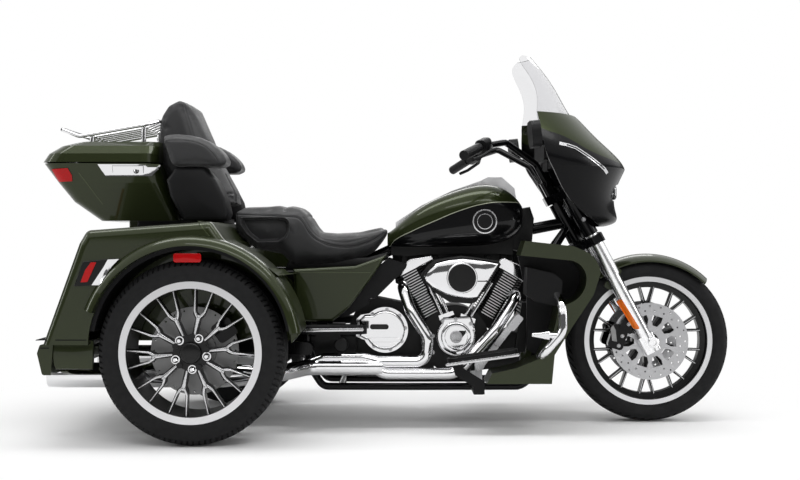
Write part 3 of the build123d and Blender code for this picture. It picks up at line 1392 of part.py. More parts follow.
lower_inner, lower_outer = 214.0, 386.0
with BuildPart() as lower_fairings:
    for sign in (1, -1):
        with BuildSketch(side_plane(sign * lower_inner)):
            with BuildLine():
                Polyline((468, 658), (484, 712), (663, 692), (691, 680))
                ThreePointArc((691, 680), (745, 640), (761, 592))
                Polyline((761, 592), (735, 513), (663, 405), (593, 294), (583, 188), (344, 188),
                         (364, 226), (452, 246),
                         (540, 281), (586, 366), (599, 421), (609, 477))
                ThreePointArc((609, 477), (676, 500), (709, 580))
                ThreePointArc((709, 580), (688, 622), (640, 641))
                Line((640, 641), (468, 658))
            make_face()
        extrude(amount=-sign * (lower_outer - lower_inner))
    add(engine_guard.part, mode=Mode.SUBTRACT)
save(lower_fairings.part, "lower_fairings")

with BuildPart() as lower_pods:
    for sign in (1, -1):
        with BuildSketch(side_plane(sign * (lower_inner - 12))):   # dark inner panel
            Polygon((472, 668), (476, 696), (660, 682), (722, 640), (745, 592), (720, 513), (650, 405),
                    (586, 320),
                    (540, 281), (508, 300), (508, 500), align=None)
        extrude(amount=-sign * 12)
        with BuildSketch(side_plane(sign * lower_inner)):
            Polygon((498, 614), (598, 591), (628, 564), (622, 496), (606, 470), (526, 488), (494, 512),
                    align=None)
        extrude(amount=-sign * 126)
        with BuildSketch(side_plane(sign * 90)):                   # stay to the frame cross member
            Polygon((575, 470), (620, 470), (620, 520), (575, 520), align=None)
        extrude(amount=-sign * (lower_inner - 12 - 90))
    for other in (engine_guard.part, lower_fairings.part, frame.part):
        add(other, mode=Mode.SUBTRACT)
save(lower_pods.part, "lower_pods")

board_tilt = 8.0
with BuildPart() as rider_footboards:
    for sign in (1, -1):
        board = Plane(origin=(332, sign * 350, 283), x_dir=(math.cos(math.radians(board_tilt)), 0,
                      math.sin(math.radians(board_tilt))), z_dir=(-math.sin(math.radians(board_tilt)), 0,
                      math.cos(math.radians(board_tilt))))
        with BuildSketch(board):
            SlotOverall(264, 96)
        extrude(amount=14)
        with BuildSketch(side_plane(sign * (rail_half - 6))):      # arms to the frame rail
            with Locations((318, rail_z + 2)):
                RectangleRounded(40, 20, 6)
        extrude(amount=-sign * 200)
        with BuildSketch(side_plane(sign * 326)):
            Polygon((212, 276), (246, 282), (262, 240), (340, 192), (340, rail_z - 6), (300, rail_z - 6),
                    (298, 172),
                    (232, 214), align=None)
        extrude(amount=-sign * 12)
    add(frame.part, mode=Mode.SUBTRACT)
save(rider_footboards.part, "rider_footboards")

with BuildPart() as passenger_footboards:
    for sign in (1, -1):
        with BuildSketch(Plane(origin=(-221, sign * 300, 366))):
            SlotOverall(250, 84)
        extrude(amount=28)
        with BuildSketch(side_plane(sign * 170)):                  # arm to the battery box corner
            Polygon((-290, 340), (-200, 340), (-200, 372), (-290, 372), align=None)
        extrude(amount=-sign * 110)
        with BuildSketch(side_plane(sign * 170)):
            Polygon((-290, 340), (-250, 340), (-250, 440), (-290, 440), align=None)
        extrude(amount=-sign * 14)
    for other in (battery_box.part, side_covers.part):
        add(other, mode=Mode.SUBTRACT)
save(passenger_footboards.part, "passenger_footboards")

with BuildPart() as foot_controls:
    with BuildSketch(side_plane(-lower_inner + 24)):               # brake pedal arm and pad
        with Locations((330, 238)):
            Circle(19)
        Polygon((322, 238), (346, 232), (474, 398), (452, 410), align=None)
    extrude(amount=14)
    with BuildSketch(side_plane(-lower_inner + 24)):
        with Locations((462, 404)):
            RectangleRounded(64, 30, 8, rotation=52)
    extrude(amount=70)
    with BuildSketch(side_plane(-rail_half)):
        with Locations((330, 238)):
            Circle(11)
    extrude(amount=lower_inner - 24 - rail_half)
    with BuildSketch(side_plane(-rail_half + 8)):
        Polygon((316, 140), (344, 140), (344, 250), (316, 250), align=None)
    extrude(amount=14)
    with BuildSketch(side_plane(lower_inner - 24)):                # gear lever, heel and toe
        Polygon((150, 236), (168, 230), (330, 226), (478, 330), (468, 344), (326, 246), (160, 250),
                align=None)
    extrude(amount=-14)
    with BuildSketch(side_plane(lower_inner - 24)):
        with Locations((472, 338), (158, 242)):
            Circle(11)
    extrude(amount=-80)
    with BuildSketch(side_plane(rail_half - 8)):
        Polygon((316, 140), (344, 140), (344, 250), (316, 250), align=None)
    extrude(amount=-14)
    with BuildSketch(side_plane(rail_half)):
        with Locations((330, 238)):
            Circle(11)
    extrude(amount=rail_half - lower_inner + 24)
    for other in (frame.part, exhaust_pipes.part, rider_footboards.part, engine_guard.part,
                  primary_cover.part):
        add(other, mode=Mode.SUBTRACT)
save(foot_controls.part, "foot_controls")
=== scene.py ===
# %% [markdown]
# # A touring motor trike, dressed for a studio picture
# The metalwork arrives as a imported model: every piece sits at its real place, in metres, with +X to the front,
# +Y to the rider's left and +Z up.  The lesson loads it, sets up a studio, and then dresses it one finish and
# one soft part at a time.

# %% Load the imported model
import json
import math

import bmesh
import bpy
import numpy as np
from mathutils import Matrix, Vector
from mathutils.bvhtree import BVHTree
from mathutils.kdtree import KDTree

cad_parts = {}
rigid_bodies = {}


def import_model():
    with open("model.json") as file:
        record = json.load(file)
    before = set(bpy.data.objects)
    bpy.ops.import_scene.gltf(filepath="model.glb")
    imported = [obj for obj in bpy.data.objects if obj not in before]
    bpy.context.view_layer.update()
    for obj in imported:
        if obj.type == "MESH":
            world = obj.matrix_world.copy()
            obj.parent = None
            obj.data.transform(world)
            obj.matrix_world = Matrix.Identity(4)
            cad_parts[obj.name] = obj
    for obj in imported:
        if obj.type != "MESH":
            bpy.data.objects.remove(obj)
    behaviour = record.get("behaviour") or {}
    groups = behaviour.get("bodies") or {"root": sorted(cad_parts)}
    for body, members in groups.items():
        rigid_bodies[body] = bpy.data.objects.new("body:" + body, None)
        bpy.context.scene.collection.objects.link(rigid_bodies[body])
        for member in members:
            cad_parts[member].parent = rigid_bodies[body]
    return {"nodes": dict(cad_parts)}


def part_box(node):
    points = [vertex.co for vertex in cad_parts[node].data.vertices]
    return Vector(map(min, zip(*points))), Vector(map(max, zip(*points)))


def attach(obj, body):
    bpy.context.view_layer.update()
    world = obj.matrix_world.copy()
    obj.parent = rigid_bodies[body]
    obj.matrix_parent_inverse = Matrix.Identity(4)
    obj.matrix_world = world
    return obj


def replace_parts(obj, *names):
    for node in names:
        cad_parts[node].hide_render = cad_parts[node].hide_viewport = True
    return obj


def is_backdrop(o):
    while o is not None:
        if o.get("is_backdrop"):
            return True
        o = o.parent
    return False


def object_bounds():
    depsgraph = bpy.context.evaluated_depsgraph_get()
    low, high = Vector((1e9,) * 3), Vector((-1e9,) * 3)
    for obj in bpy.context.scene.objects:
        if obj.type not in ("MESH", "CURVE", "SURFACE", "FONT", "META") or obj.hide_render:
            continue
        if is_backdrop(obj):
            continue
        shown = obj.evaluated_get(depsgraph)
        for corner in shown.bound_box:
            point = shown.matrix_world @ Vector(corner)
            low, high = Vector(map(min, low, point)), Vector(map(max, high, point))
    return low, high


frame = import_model()
nodes = frame["nodes"]
cad_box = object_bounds()
scene = bpy.context.scene

# %% [markdown]
# A level camera stands square to the vehicle's right side, a little under five metres off.  A fairly long lens
# keeps both wheels round and the far side nearly in line with the near one.

# %% Camera
def add_camera(place, lens_mm):
    data = bpy.data.cameras.new("studio_camera")
    data.lens = lens_mm
    data.sensor_width = 36.0
    camera = bpy.data.objects.new("studio_camera", data)
    camera.location = place
    camera.rotation_euler = (math.radians(90), 0, 0)
    scene.collection.objects.link(camera)
    scene.camera = camera
    return camera


add_camera((0.027, -4.824, 0.715), 54.6)
scene.view_settings.view_transform = "Standard"

# %% [markdown]
# Painted bodywork is read through what it mirrors, so the lamps shape it.  A long narrow box overhead draws a
# bright line along every shoulder, and weaker panels on both sides keep the flanks from going black.  The world
# is plain white to the eye and in reflections, and a soft grey as a source of light.

# %% World and lamps
def build_world(soft_level):
    """White to the camera, to reflections and through glass; soft grey as a source of light."""
    world = bpy.data.worlds.new("studio_world")
    world.use_nodes = True
    tree = world.node_tree
    tree.nodes.clear()
    rays = tree.nodes.new("ShaderNodeLightPath")
    seen = rays.outputs["Is Camera Ray"]
    for kind in ("Is Glossy Ray", "Is Transmission Ray"):
        either = tree.nodes.new("ShaderNodeMath")
        either.operation = "MAXIMUM"
        tree.links.new(seen, either.inputs[0])
        tree.links.new(rays.outputs[kind], either.inputs[1])
        seen = either.outputs[0]
    mix = tree.nodes.new("ShaderNodeMixShader")
    tree.links.new(seen, mix.inputs["Fac"])
    for slot, strength in ((1, soft_level), (2, 1.0)):
        background = tree.nodes.new("ShaderNodeBackground")
        background.inputs["Color"].default_value = (1, 1, 1, 1)
        background.inputs["Strength"].default_value = strength
        tree.links.new(background.outputs[0], mix.inputs[slot])
    out = tree.nodes.new("ShaderNodeOutputWorld")
    tree.links.new(mix.outputs[0], out.inputs["Surface"])
    scene.world = world


def add_panel(name, place, aim, width, height, watts):
    data = bpy.data.lights.new(name, "AREA")
    data.shape = "RECTANGLE"
    data.size, data.size_y, data.energy = width, height, watts
    lamp = bpy.data.objects.new(name, data)
    lamp.location = place
    lamp.rotation_euler = (Vector(aim) - Vector(place)).to_track_quat("-Z", "Y").to_euler()
    scene.collection.objects.link(lamp)
    print(name, "radiance", round(watts / (math.pi * width * height), 2))


build_world(soft_level=0.55)
add_panel("overhead_box", (0.0, -0.5, 3.2), (0, 0, 0.4), 4.4, 0.7, 62)
add_panel("shoulder_panel_right", (0.3, -3.4, 3.0), (0, 0, 0.5), 3.4, 0.5, 26)
add_panel("shoulder_panel_left", (0.3, 3.4, 3.0), (0, 0, 0.5), 3.4, 0.5, 26)
add_panel("front_strip", (4.0, -0.8, 1.7), (0.4, 0, 0.6), 0.6, 2.0, 22)
add_panel("rear_strip", (-4.0, -0.8, 1.7), (-0.6, 0, 0.6), 0.6, 2.0, 22)

# %% [markdown]
# The floor is a wide matt disc.  Close to the vehicle it takes the soft shadow of the tyres, and further out it
# fades into the white of the world, so no horizon line shows.

# %% Floor
def build_floor(radius=14.0, fade_from=0.95, fade_to=2.1):
    mesh = bpy.data.meshes.new("studio_floor")
    rim = [(radius * math.cos(a), radius * math.sin(a), 0) for a in np.linspace(0, math.tau, 96, endpoint=False)]
    mesh.from_pydata(rim, [], [list(range(len(rim)))])
    floor = bpy.data.objects.new("studio_floor", mesh)
    scene.collection.objects.link(floor)
    paint = bpy.data.materials.new("floor_white")
    paint.use_nodes = True
    tree = paint.node_tree
    tree.nodes.clear()
    out = tree.nodes.new("ShaderNodeOutputMaterial")
    matt = tree.nodes.new("ShaderNodeBsdfDiffuse")
    matt.inputs["Color"].default_value = (0.95, 0.95, 0.95, 1)
    far = tree.nodes.new("ShaderNodeEmission")
    far.inputs["Strength"].default_value = 1.0
    place = tree.nodes.new("ShaderNodeTexCoord")
    reach = tree.nodes.new("ShaderNodeVectorMath")
    reach.operation = "LENGTH"
    fade = tree.nodes.new("ShaderNodeMapRange")
    fade.interpolation_type = "SMOOTHSTEP"
    fade.inputs["From Min"].default_value = fade_from
    fade.inputs["From Max"].default_value = fade_to
    mix = tree.nodes.new("ShaderNodeMixShader")
    tree.links.new(place.outputs["Object"], reach.inputs[0])
    tree.links.new(reach.outputs["Value"], fade.inputs["Value"])
    tree.links.new(fade.outputs["Result"], mix.inputs["Fac"])
    tree.links.new(matt.outputs[0], mix.inputs[1])
    tree.links.new(far.outputs[0], mix.inputs[2])
    tree.links.new(mix.outputs[0], out.inputs["Surface"])
    mesh.materials.append(paint)
    floor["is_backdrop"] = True


build_floor()

# %% [markdown]
# ## Finishes
# Each finish is one small node recipe.  They share a starter that makes a Principled shader, and helpers that
# break up the roughness or add a fine relief, because nothing on a real vehicle is perfectly even.

# %% Finish helpers
def new_finish(name, colour, metallic=0.0, roughness=0.4, specular=0.5, coat=0.0):
    finish = bpy.data.materials.new(name)
    finish.use_nodes = True
    shader = finish.node_tree.nodes["Principled BSDF"]
    shader.inputs["Base Color"].default_value = (*colour, 1)
    shader.inputs["Metallic"].default_value = metallic
    shader.inputs["Roughness"].default_value = roughness
    shader.inputs["Specular IOR Level"].default_value = specular
    shader.inputs["Coat Weight"].default_value = coat
    shader.inputs["Coat Roughness"].default_value = 0.04
    finish.diffuse_color = (*colour, 1)
    return finish


def shader_of(finish):
    return finish.node_tree.nodes["Principled BSDF"]


def add_node(finish, kind, settings=None, **sockets):
    node = finish.node_tree.nodes.new(kind)
    for key, value in (settings or {}).items():
        setattr(node, key, value)
    for key, value in sockets.items():
        node.inputs[key.replace("_", " ")].default_value = value
    return node


def join(finish, source, target):
    finish.node_tree.links.new(source, target)


def calc(finish, operation, first, second=None, vector=False):
    """One arithmetic node; each input is a number, a vector or another node's output."""
    kind = "ShaderNodeVectorMath" if vector else "ShaderNodeMath"
    node = add_node(finish, kind, {"operation": operation})
    for socket, value in zip(node.inputs, (first, second)):
        if isinstance(value, bpy.types.NodeSocket):
            join(finish, value, socket)
        elif value is not None:
            socket.default_value = value
    single = not vector or operation in ("LENGTH", "DOT_PRODUCT")
    return node.outputs["Value" if single else "Vector"]


def blend(finish, share, first, second):
    """Goes from the first colour to the second as the share goes from 0 to 1."""
    mix = add_node(finish, "ShaderNodeMixRGB")
    join(finish, share, mix.inputs["Fac"])
    for socket, value in ((mix.inputs["Color1"], first), (mix.inputs["Color2"], second)):
        if isinstance(value, bpy.types.NodeSocket):
            join(finish, value, socket)
        else:
            socket.default_value = (*value, 1)
    return mix.outputs["Color"]


def position(finish, axis=None):
    """Where a point lies on the vehicle: all three coordinates, or the one along an axis."""
    place = add_node(finish, "ShaderNodeTexCoord").outputs["Object"]
    if axis is None:
        return place
    split = add_node(finish, "ShaderNodeSeparateXYZ")
    join(finish, place, split.inputs[0])
    return split.outputs[axis]


def metal_where(finish, share, dark, bright):
    """Dark paint where the share is 0 and bright metal where it is 1."""
    join(finish, blend(finish, share, dark, bright), shader_of(finish).inputs["Base Color"])
    join(finish, share, shader_of(finish).inputs["Metallic"])


def vary_roughness(finish, scale, low, high):
    """Lets the roughness wander between two values over patches of the given scale."""
    patches = add_node(finish, "ShaderNodeTexNoise", Scale=scale, Detail=4.0)
    span = add_node(finish, "ShaderNodeMapRange", From_Min=0.3, From_Max=0.7, To_Min=low, To_Max=high)
    join(finish, position(finish), patches.inputs["Vector"])
    join(finish, patches.outputs["Fac"], span.inputs["Value"])
    join(finish, span.outputs["Result"], shader_of(finish).inputs["Roughness"])


def add_relief(finish, kind, scale, strength, depth=0.0004):
    """Adds a fine relief: grain from a noise, or pebbles from a cell pattern."""
    grain = add_node(finish, kind, Scale=scale)
    bump = add_node(finish, "ShaderNodeBump", Strength=strength, Distance=depth)
    join(finish, position(finish), grain.inputs["Vector"])
    join(finish, grain.outputs[0 if kind != "ShaderNodeTexVoronoi" else "Distance"], bump.inputs["Height"])
    join(finish, bump.outputs["Normal"], shader_of(finish).inputs["Normal"])


# %% [markdown]
# Metallic paint is colour and tiny aluminium flakes under clear lacquer.  The flakes are a very fine cell
# pattern that lightens and darkens the colour, and the lacquer is the shader's coat.

# %% Green and black paint
green_colour = (0.021, 0.0275, 0.0085)
black_colour = (0.0025, 0.0025, 0.003)


def flake_colour(finish, colour):
    """A colour output that varies from flake to flake."""
    flakes = add_node(finish, "ShaderNodeTexVoronoi", Scale=2400.0)
    grey = add_node(finish, "ShaderNodeRGBToBW")
    join(finish, position(finish), flakes.inputs["Vector"])
    join(finish, flakes.outputs["Color"], grey.inputs["Color"])
    return blend(finish, grey.outputs["Val"], [c * 0.8 for c in colour], [c * 1.3 for c in colour])


green_paint = new_finish("green_paint", green_colour, metallic=0.5, roughness=0.34, specular=0.15, coat=0.5)
join(green_paint, flake_colour(green_paint, green_colour), shader_of(green_paint).inputs["Base Color"])
black_paint = new_finish("black_paint", black_colour, roughness=0.14, specular=0.2)
vary_roughness(black_paint, 30, 0.1, 0.18)

# %% [markdown]
# The tank and the cowl are sprayed in two colours that meet on a flowing line.  The line is drawn as a curve of
# height along the length, and the shader asks whether a point lies above or below it.  A thin light stripe
# follows the joint on the tank.

# %% Two-tone paint
stripe_colour = (0.42, 0.44, 0.34)
flake_metal = 0.5


def two_tone(name, line, stripe=0.0, coat=0.4):
    """Green above and black below a line given as (x, z) points, with an optional stripe of that half width."""
    finish = new_finish(name, green_colour, metallic=flake_metal, roughness=0.28, specular=0.1, coat=coat)
    xs, zs = [p[0] for p in line], [p[1] for p in line]
    low, high = min(zs), max(zs)
    along = add_node(finish, "ShaderNodeMapRange", From_Min=xs[0], From_Max=xs[-1], To_Min=0.0, To_Max=1.0)
    curve = add_node(finish, "ShaderNodeFloatCurve")
    points = curve.mapping.curves[0].points
    for index, (x, z) in enumerate(line):
        u, v = (x - xs[0]) / (xs[-1] - xs[0]), (z - low) / (high - low)
        if index == 0:
            points[0].location = (u, v)
        elif index == len(line) - 1:
            points[len(points) - 1].location = (u, v)
        else:
            points.new(u, v)
    curve.mapping.update()
    height = add_node(finish, "ShaderNodeMapRange", From_Min=0.0, From_Max=1.0, To_Min=low, To_Max=high)
    join(finish, position(finish, "X"), along.inputs["Value"])
    join(finish, along.outputs["Result"], curve.inputs["Value"])
    join(finish, curve.outputs["Value"], height.inputs["Value"])
    over = calc(finish, "SUBTRACT", position(finish, "Z"), height.outputs["Result"])
    above = calc(finish, "GREATER_THAN", over, 0.0)
    join(finish, calc(finish, "MULTIPLY", above, flake_metal), shader_of(finish).inputs["Metallic"])
    colour = blend(finish, above, black_colour, flake_colour(finish, green_colour))
    if stripe:
        on_line = calc(finish, "LESS_THAN", calc(finish, "ABSOLUTE", over), stripe)
        colour = blend(finish, on_line, colour, stripe_colour)
    join(finish, colour, shader_of(finish).inputs["Base Color"])
    return finish


tank_line = ((-0.03, 0.675), (-0.011, 0.692), (0.008, 0.715), (0.081, 0.753), (0.169, 0.792), (0.257, 0.828),
             (0.345, 0.853), (0.41, 0.861), (0.52, 0.857))
cowl_line = ((0.50, 1.16), (0.544, 1.129), (0.634, 1.099), (0.750, 1.042), (0.873, 1.009), (0.93, 0.995))
tank_paint = two_tone("tank_paint", tank_line, stripe=0.0014)
cowl_paint = two_tone("cowl_paint", cowl_line, coat=0.05)
print("two-tone finishes:", tank_paint.name, cowl_paint.name)

# %% [markdown]
# Chrome is a nearly perfect mirror with the faintest haze.  Cast parts are blasted and painted, so they get a
# grain.  Tyre rubber is dull and a little dusty, and moulded plastic has a pebbled skin.

# %% Metals, plastics and rubber
chrome = new_finish("chrome", (0.80, 0.80, 0.81), metallic=1.0, roughness=0.06)
vary_roughness(chrome, 18, 0.04, 0.10)
console_chrome = new_finish("console_chrome", (0.85, 0.85, 0.86), metallic=1.0, roughness=0.34)
vary_roughness(console_chrome, 40, 0.28, 0.4)
satin_silver = new_finish("satin_silver", (0.50, 0.50, 0.51), metallic=1.0, roughness=0.3)
vary_roughness(satin_silver, 60, 0.24, 0.36)
machined = new_finish("machined", (0.62, 0.62, 0.63), metallic=1.0, roughness=0.22)
vary_roughness(machined, 120, 0.18, 0.3)
cast_black = new_finish("cast_black", (0.006, 0.006, 0.006), roughness=0.42, specular=0.25)
add_relief(cast_black, "ShaderNodeTexNoise", 900, 0.25)
moulded_black = new_finish("moulded_black", (0.0065, 0.0065, 0.007), roughness=0.45, specular=0.16)
add_relief(moulded_black, "ShaderNodeTexVoronoi", 1400, 0.2)
tyre_rubber = new_finish("tyre_rubber", (0.010, 0.010, 0.0105), roughness=0.7, specular=0.2)
vary_roughness(tyre_rubber, 40, 0.6, 0.82)
disc_steel = new_finish("disc_steel", (0.50, 0.50, 0.51), metallic=1.0, roughness=0.32)
vary_roughness(disc_steel, 70, 0.26, 0.4)
wheel_black = new_finish("wheel_black", (0.006, 0.006, 0.006), roughness=0.25, specular=0.3)
lens_red = (0.42, 0.002, 0.003)
red_lens = new_finish("red_lens", lens_red, roughness=0.15, specular=0.25)
amber_lens = new_finish("amber_lens", (0.85, 0.18, 0.01), roughness=0.15, specular=0.5)
clear_lens = new_finish("clear_lens", (0.95, 0.96, 0.97), roughness=0.02)
shader_of(clear_lens).inputs["Transmission Weight"].default_value = 1.0
belt_black = new_finish("belt_black", (0.008, 0.008, 0.008), roughness=0.6)
screen_clear = new_finish("screen_clear", (0.84, 0.84, 0.85), roughness=0.02, specular=0.4)
shader_of(screen_clear).inputs["Transmission Weight"].default_value = 1.0
shader_of(screen_clear).inputs["IOR"].default_value = 1.15

# %% [markdown]
# Seat vinyl has a pebble grain about a millimetre across and a soft sheen.  A cell pattern makes the grain,
# and a slow noise lets the roughness wander from patch to patch.

# %% Seat vinyl
seat_vinyl = new_finish("seat_vinyl", (0.013, 0.013, 0.014), roughness=0.46, specular=0.45)
vary_roughness(seat_vinyl, 25, 0.42, 0.58)
add_relief(seat_vinyl, "ShaderNodeTexVoronoi", 850, 0.35, 0.0006)
shader_of(seat_vinyl).inputs["Sheen Weight"].default_value = 0.12
seat_piping = new_finish("seat_piping", (0.022, 0.022, 0.023), roughness=0.42, specular=0.4)

# %% Give every carried-over piece its finish
finish_of = {
    green_paint: ("rear_body", "trunk_door", "luggage_box", "luggage_lid", "side_covers", "lower_fairings",
                  "front_fender", "rear_bumper"),
    tank_paint: ("fuel_tank",),
    cowl_paint: ("outer_fairing",),
    chrome: ("exhaust_pipes", "mufflers", "air_cleaner", "cam_cover", "gearbox_cover", "primary_cover",
             "rocker_covers", "pushrod_tubes", "luggage_rack", "engine_guard"),
    console_chrome: ("tank_console",),
    satin_silver: ("fork_legs", "foot_controls"),
    tyre_rubber: ("front_tyre", "rear_tyre_left", "rear_tyre_right"),
    wheel_black: ("front_wheel", "rear_wheel_left", "rear_wheel_right"),
    disc_steel: ("front_brake_discs", "rear_brake_disc_left", "rear_brake_disc_right"),
    red_lens: ("rear_lamps",),
    clear_lens: ("headlamp",),
    belt_black: ("drive_belt",),
    screen_clear: ("windshield",),
    seat_vinyl: ("seat", "backrest", "armrests"),
    moulded_black: ("inner_fairing", "lower_pods", "speaker_pods", "wheel_liners", "battery_box", "hand_controls",
                    "mirrors", "rider_footboards", "passenger_footboards"),
    cast_black: ("crankcase", "cylinder_front", "cylinder_rear", "wiring_cover"),
    black_paint: ("frame", "fork_yokes", "front_calipers", "handlebar", "rear_axle", "rear_shocks",
                  "fairing_bracket"),
}
for finish, names in finish_of.items():
    for name in names:
        nodes[name].data.materials.clear()
        nodes[name].data.materials.append(finish)
dressed = {name for names in finish_of.values() for name in names}
print("dressed", len(dressed), "of", len(nodes), "missing", sorted(set(nodes) - dressed))

# %% [markdown]
# ## Tools for new pieces
# Most added parts are one of four things: a block drawn in the side view, a body lofted through rings, a turned
# part, or a tube along a route.  Each helper only fills a bmesh, so several can go into one piece.

# %% Mesh helpers
def new_piece(name, mesh, finish, body, smooth_angle=35):
    """Turns a bmesh into a finished piece that rides on a body."""
    bmesh.ops.recalc_face_normals(mesh, faces=mesh.faces)
    data = bpy.data.meshes.new(name)
    mesh.to_mesh(data)
    mesh.free()
    for entry in (finish if isinstance(finish, (list, tuple)) else [finish]):
        data.materials.append(entry)
    for polygon in data.polygons:
        polygon.use_smooth = True
    data.set_sharp_from_angle(angle=math.radians(smooth_angle))
    piece = bpy.data.objects.new(name, data)
    scene.collection.objects.link(piece)
    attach(piece, body)
    return piece


def loft(mesh, rings, capped=True, finish_index=0):
    """Skins closed rings of the same count, and closes both ends."""
    rows = [[mesh.verts.new(point) for point in ring] for ring in rings]
    count = len(rows[0])
    for low, high in zip(rows, rows[1:]):
        for i in range(count):
            face = mesh.faces.new((low[i], low[(i + 1) % count], high[(i + 1) % count], high[i]))
            face.material_index = finish_index
    if capped:
        for row in (rows[0], rows[-1]):
            mesh.faces.new(row).material_index = finish_index
    return rows


def side_block(mesh, outline, low, high, bevel=0.0, finish_index=0):
    """An outline of (x, z) points stretched between two y, with its side edges drawn in by a bevel."""
    centre = np.mean(outline, axis=0)
    def ring(y, inset):
        points = []
        for index, point in enumerate(outline):
            before, after = np.array(outline[index - 1]), np.array(outline[(index + 1) % len(outline)])
            here = np.array(point)
            a, b = here - before, after - here
            a, b = a / (np.linalg.norm(a) + 1e-9), b / (np.linalg.norm(b) + 1e-9)
            out = np.array((a[1] + b[1], -a[0] - b[0]))
            out = out / (np.linalg.norm(out) + 1e-9)
            if np.dot(out, here - centre) < 0:
                out = -out
            x, z = here - out * inset
            points.append((x, y, z))
        return points
    if bevel:
        step = math.copysign(bevel, high - low)
        rings = [ring(low, bevel), ring(low + 0.3 * step, 0.3 * bevel), ring(low + step, 0)]
        rings += [ring(high - step, 0), ring(high - 0.3 * step, 0.3 * bevel), ring(high, bevel)]
    else:
        rings = [ring(low, 0), ring(high, 0)]
    return loft(mesh, rings, finish_index=finish_index)


def turn(mesh, profile, centre, axis, segments=48, finish_index=0):
    """Turns (distance along the axis, radius) points round an axis; a radius of zero closes the end."""
    axis = Vector(axis).normalized()
    side = axis.orthogonal().normalized()
    other = axis.cross(side)
    rings = []
    for reach, radius in profile:
        base = Vector(centre) + axis * reach
        if radius <= 0:
            rings.append([mesh.verts.new(base)])
        else:
            rings.append([mesh.verts.new(base + (side * math.cos(a) + other * math.sin(a)) * radius)
                          for a in np.linspace(0, math.tau, segments, endpoint=False)])
    for low, high in zip(rings, rings[1:]):
        for i in range(segments):
            corners = {low[i % len(low)]: 0, low[(i + 1) % len(low)]: 0,
                       high[(i + 1) % len(high)]: 0, high[i % len(high)]: 0}
            if len(corners) > 2:
                mesh.faces.new(list(corners)).material_index = finish_index


def pipe(mesh, route, radius, segments=12, finish_index=0, closed=False):
    """A round tube along points; the radius may be one number or one a point."""
    points = [Vector(p) for p in route]
    radii = radius if isinstance(radius, (list, tuple)) else [radius] * len(points)
    rings, side = [], None
    for index, point in enumerate(points):
        before = points[index - 1] if index or closed else point
        after = points[(index + 1) % len(points)] if index + 1 < len(points) or closed else point
        run = (after - before).normalized()
        side = (side - run * side.dot(run)).normalized() if side else run.orthogonal().normalized()
        other = run.cross(side)
        rings.append([mesh.verts.new(point + (side * math.cos(a) + other * math.sin(a)) * radii[index])
                      for a in np.linspace(0, math.tau, segments, endpoint=False)])
    pairs = list(zip(rings, rings[1:])) + ([(rings[-1], rings[0])] if closed else [])
    for low, high in pairs:
        for i in range(segments):
            mesh.faces.new((low[i], low[(i + 1) % segments], high[(i + 1) % segments],
                            high[i])).material_index = finish_index
    if not closed:
        for row in (rings[0], rings[-1]):
            mesh.faces.new(row).material_index = finish_index


def smooth_route(points, steps=8):
    """A Catmull-Rom curve through the points."""
    points = [Vector(p) for p in points]
    route = []
    for index in range(len(points) - 1):
        a = points[max(index - 1, 0)]
        b, c = points[index], points[index + 1]
        d = points[min(index + 2, len(points) - 1)]
        for step in range(steps):
            t = step / steps
            route.append(0.5 * ((2 * b) + (c - a) * t + (2 * a - 5 * b + 4 * c - d) * t * t
                                + (3 * b - a - 3 * c + d) * t ** 3))
    route.append(points[-1])
    return route


def hex_bolt(mesh, place, axis, radius, height, finish_index=0):
    """A bolt head: a washer, a six-sided head with its corners knocked off, and a shallow dimple."""
    turn(mesh, [(-0.001, radius * 1.35), (radius * 0.18, radius * 1.35), (radius * 0.2, radius * 1.05)],
         place, axis, 20, finish_index)
    turn(mesh, [(0, radius), (height * 0.8, radius), (height, radius * 0.86), (height, radius * 0.4),
                (height * 0.86, 0)], place, axis, 6, finish_index)


print("mesh helpers ready")

# %% [markdown]
# ## Soft parts
# A cushion is foam under a stretched cover, so its faces swell and its sides pull in.  The recipe is the same for
# every cushion here: remesh the block into even squares, let cloth under a little pressure swell it, limit how
# far any point may go, and smooth the result.  Seams are pressed in afterwards, when the mesh is fine enough.

# %% Cushion helpers
def swell(piece, voxel=0.006, pressure=4.0, cap=0.010, frames=20, rounding=8):
    """Remeshes a block evenly, rounds its edges and swells it as stuffed cloth, within a cap."""
    view = bpy.context.view_layer
    view.objects.active = piece
    for other in view.objects:
        other.select_set(other == piece)
    remesh = piece.modifiers.new("even_mesh", "REMESH")
    remesh.mode, remesh.voxel_size = "VOXEL", voxel
    bpy.ops.object.modifier_apply(modifier=remesh.name)
    round_off = piece.modifiers.new("round_off", "SMOOTH")
    round_off.factor, round_off.iterations = 0.5, rounding
    bpy.ops.object.modifier_apply(modifier=round_off.name)
    start = np.array([v.co[:] for v in piece.data.vertices])
    cloth = piece.modifiers.new("stuffing", "CLOTH")
    cloth.settings.use_pressure = True
    cloth.settings.uniform_pressure_force = pressure
    cloth.settings.effector_weights.gravity = 0
    cloth.settings.quality = 3
    cloth.point_cache.frame_end = frames
    for frame_number in range(1, frames + 1):
        scene.frame_set(frame_number)
    bpy.ops.object.modifier_apply(modifier=cloth.name)
    scene.frame_set(1)
    moved = np.array([v.co[:] for v in piece.data.vertices])
    step = moved - start
    length = np.linalg.norm(step, axis=1, keepdims=True)
    moved = start + step * np.minimum(1.0, cap / np.maximum(length, 1e-9))
    piece.data.vertices.foreach_set("co", moved.ravel())
    finer = piece.modifiers.new("finer", "SUBSURF")
    finer.levels = finer.render_levels = 1
    bpy.ops.object.modifier_apply(modifier=finer.name)
    for polygon in piece.data.polygons:
        polygon.use_smooth = True
    print(piece.name, "faces", len(piece.data.polygons))


def surface_tree(piece):
    mesh = bmesh.new()
    mesh.from_mesh(piece.data)
    tree = BVHTree.FromBMesh(mesh)
    mesh.free()
    return tree


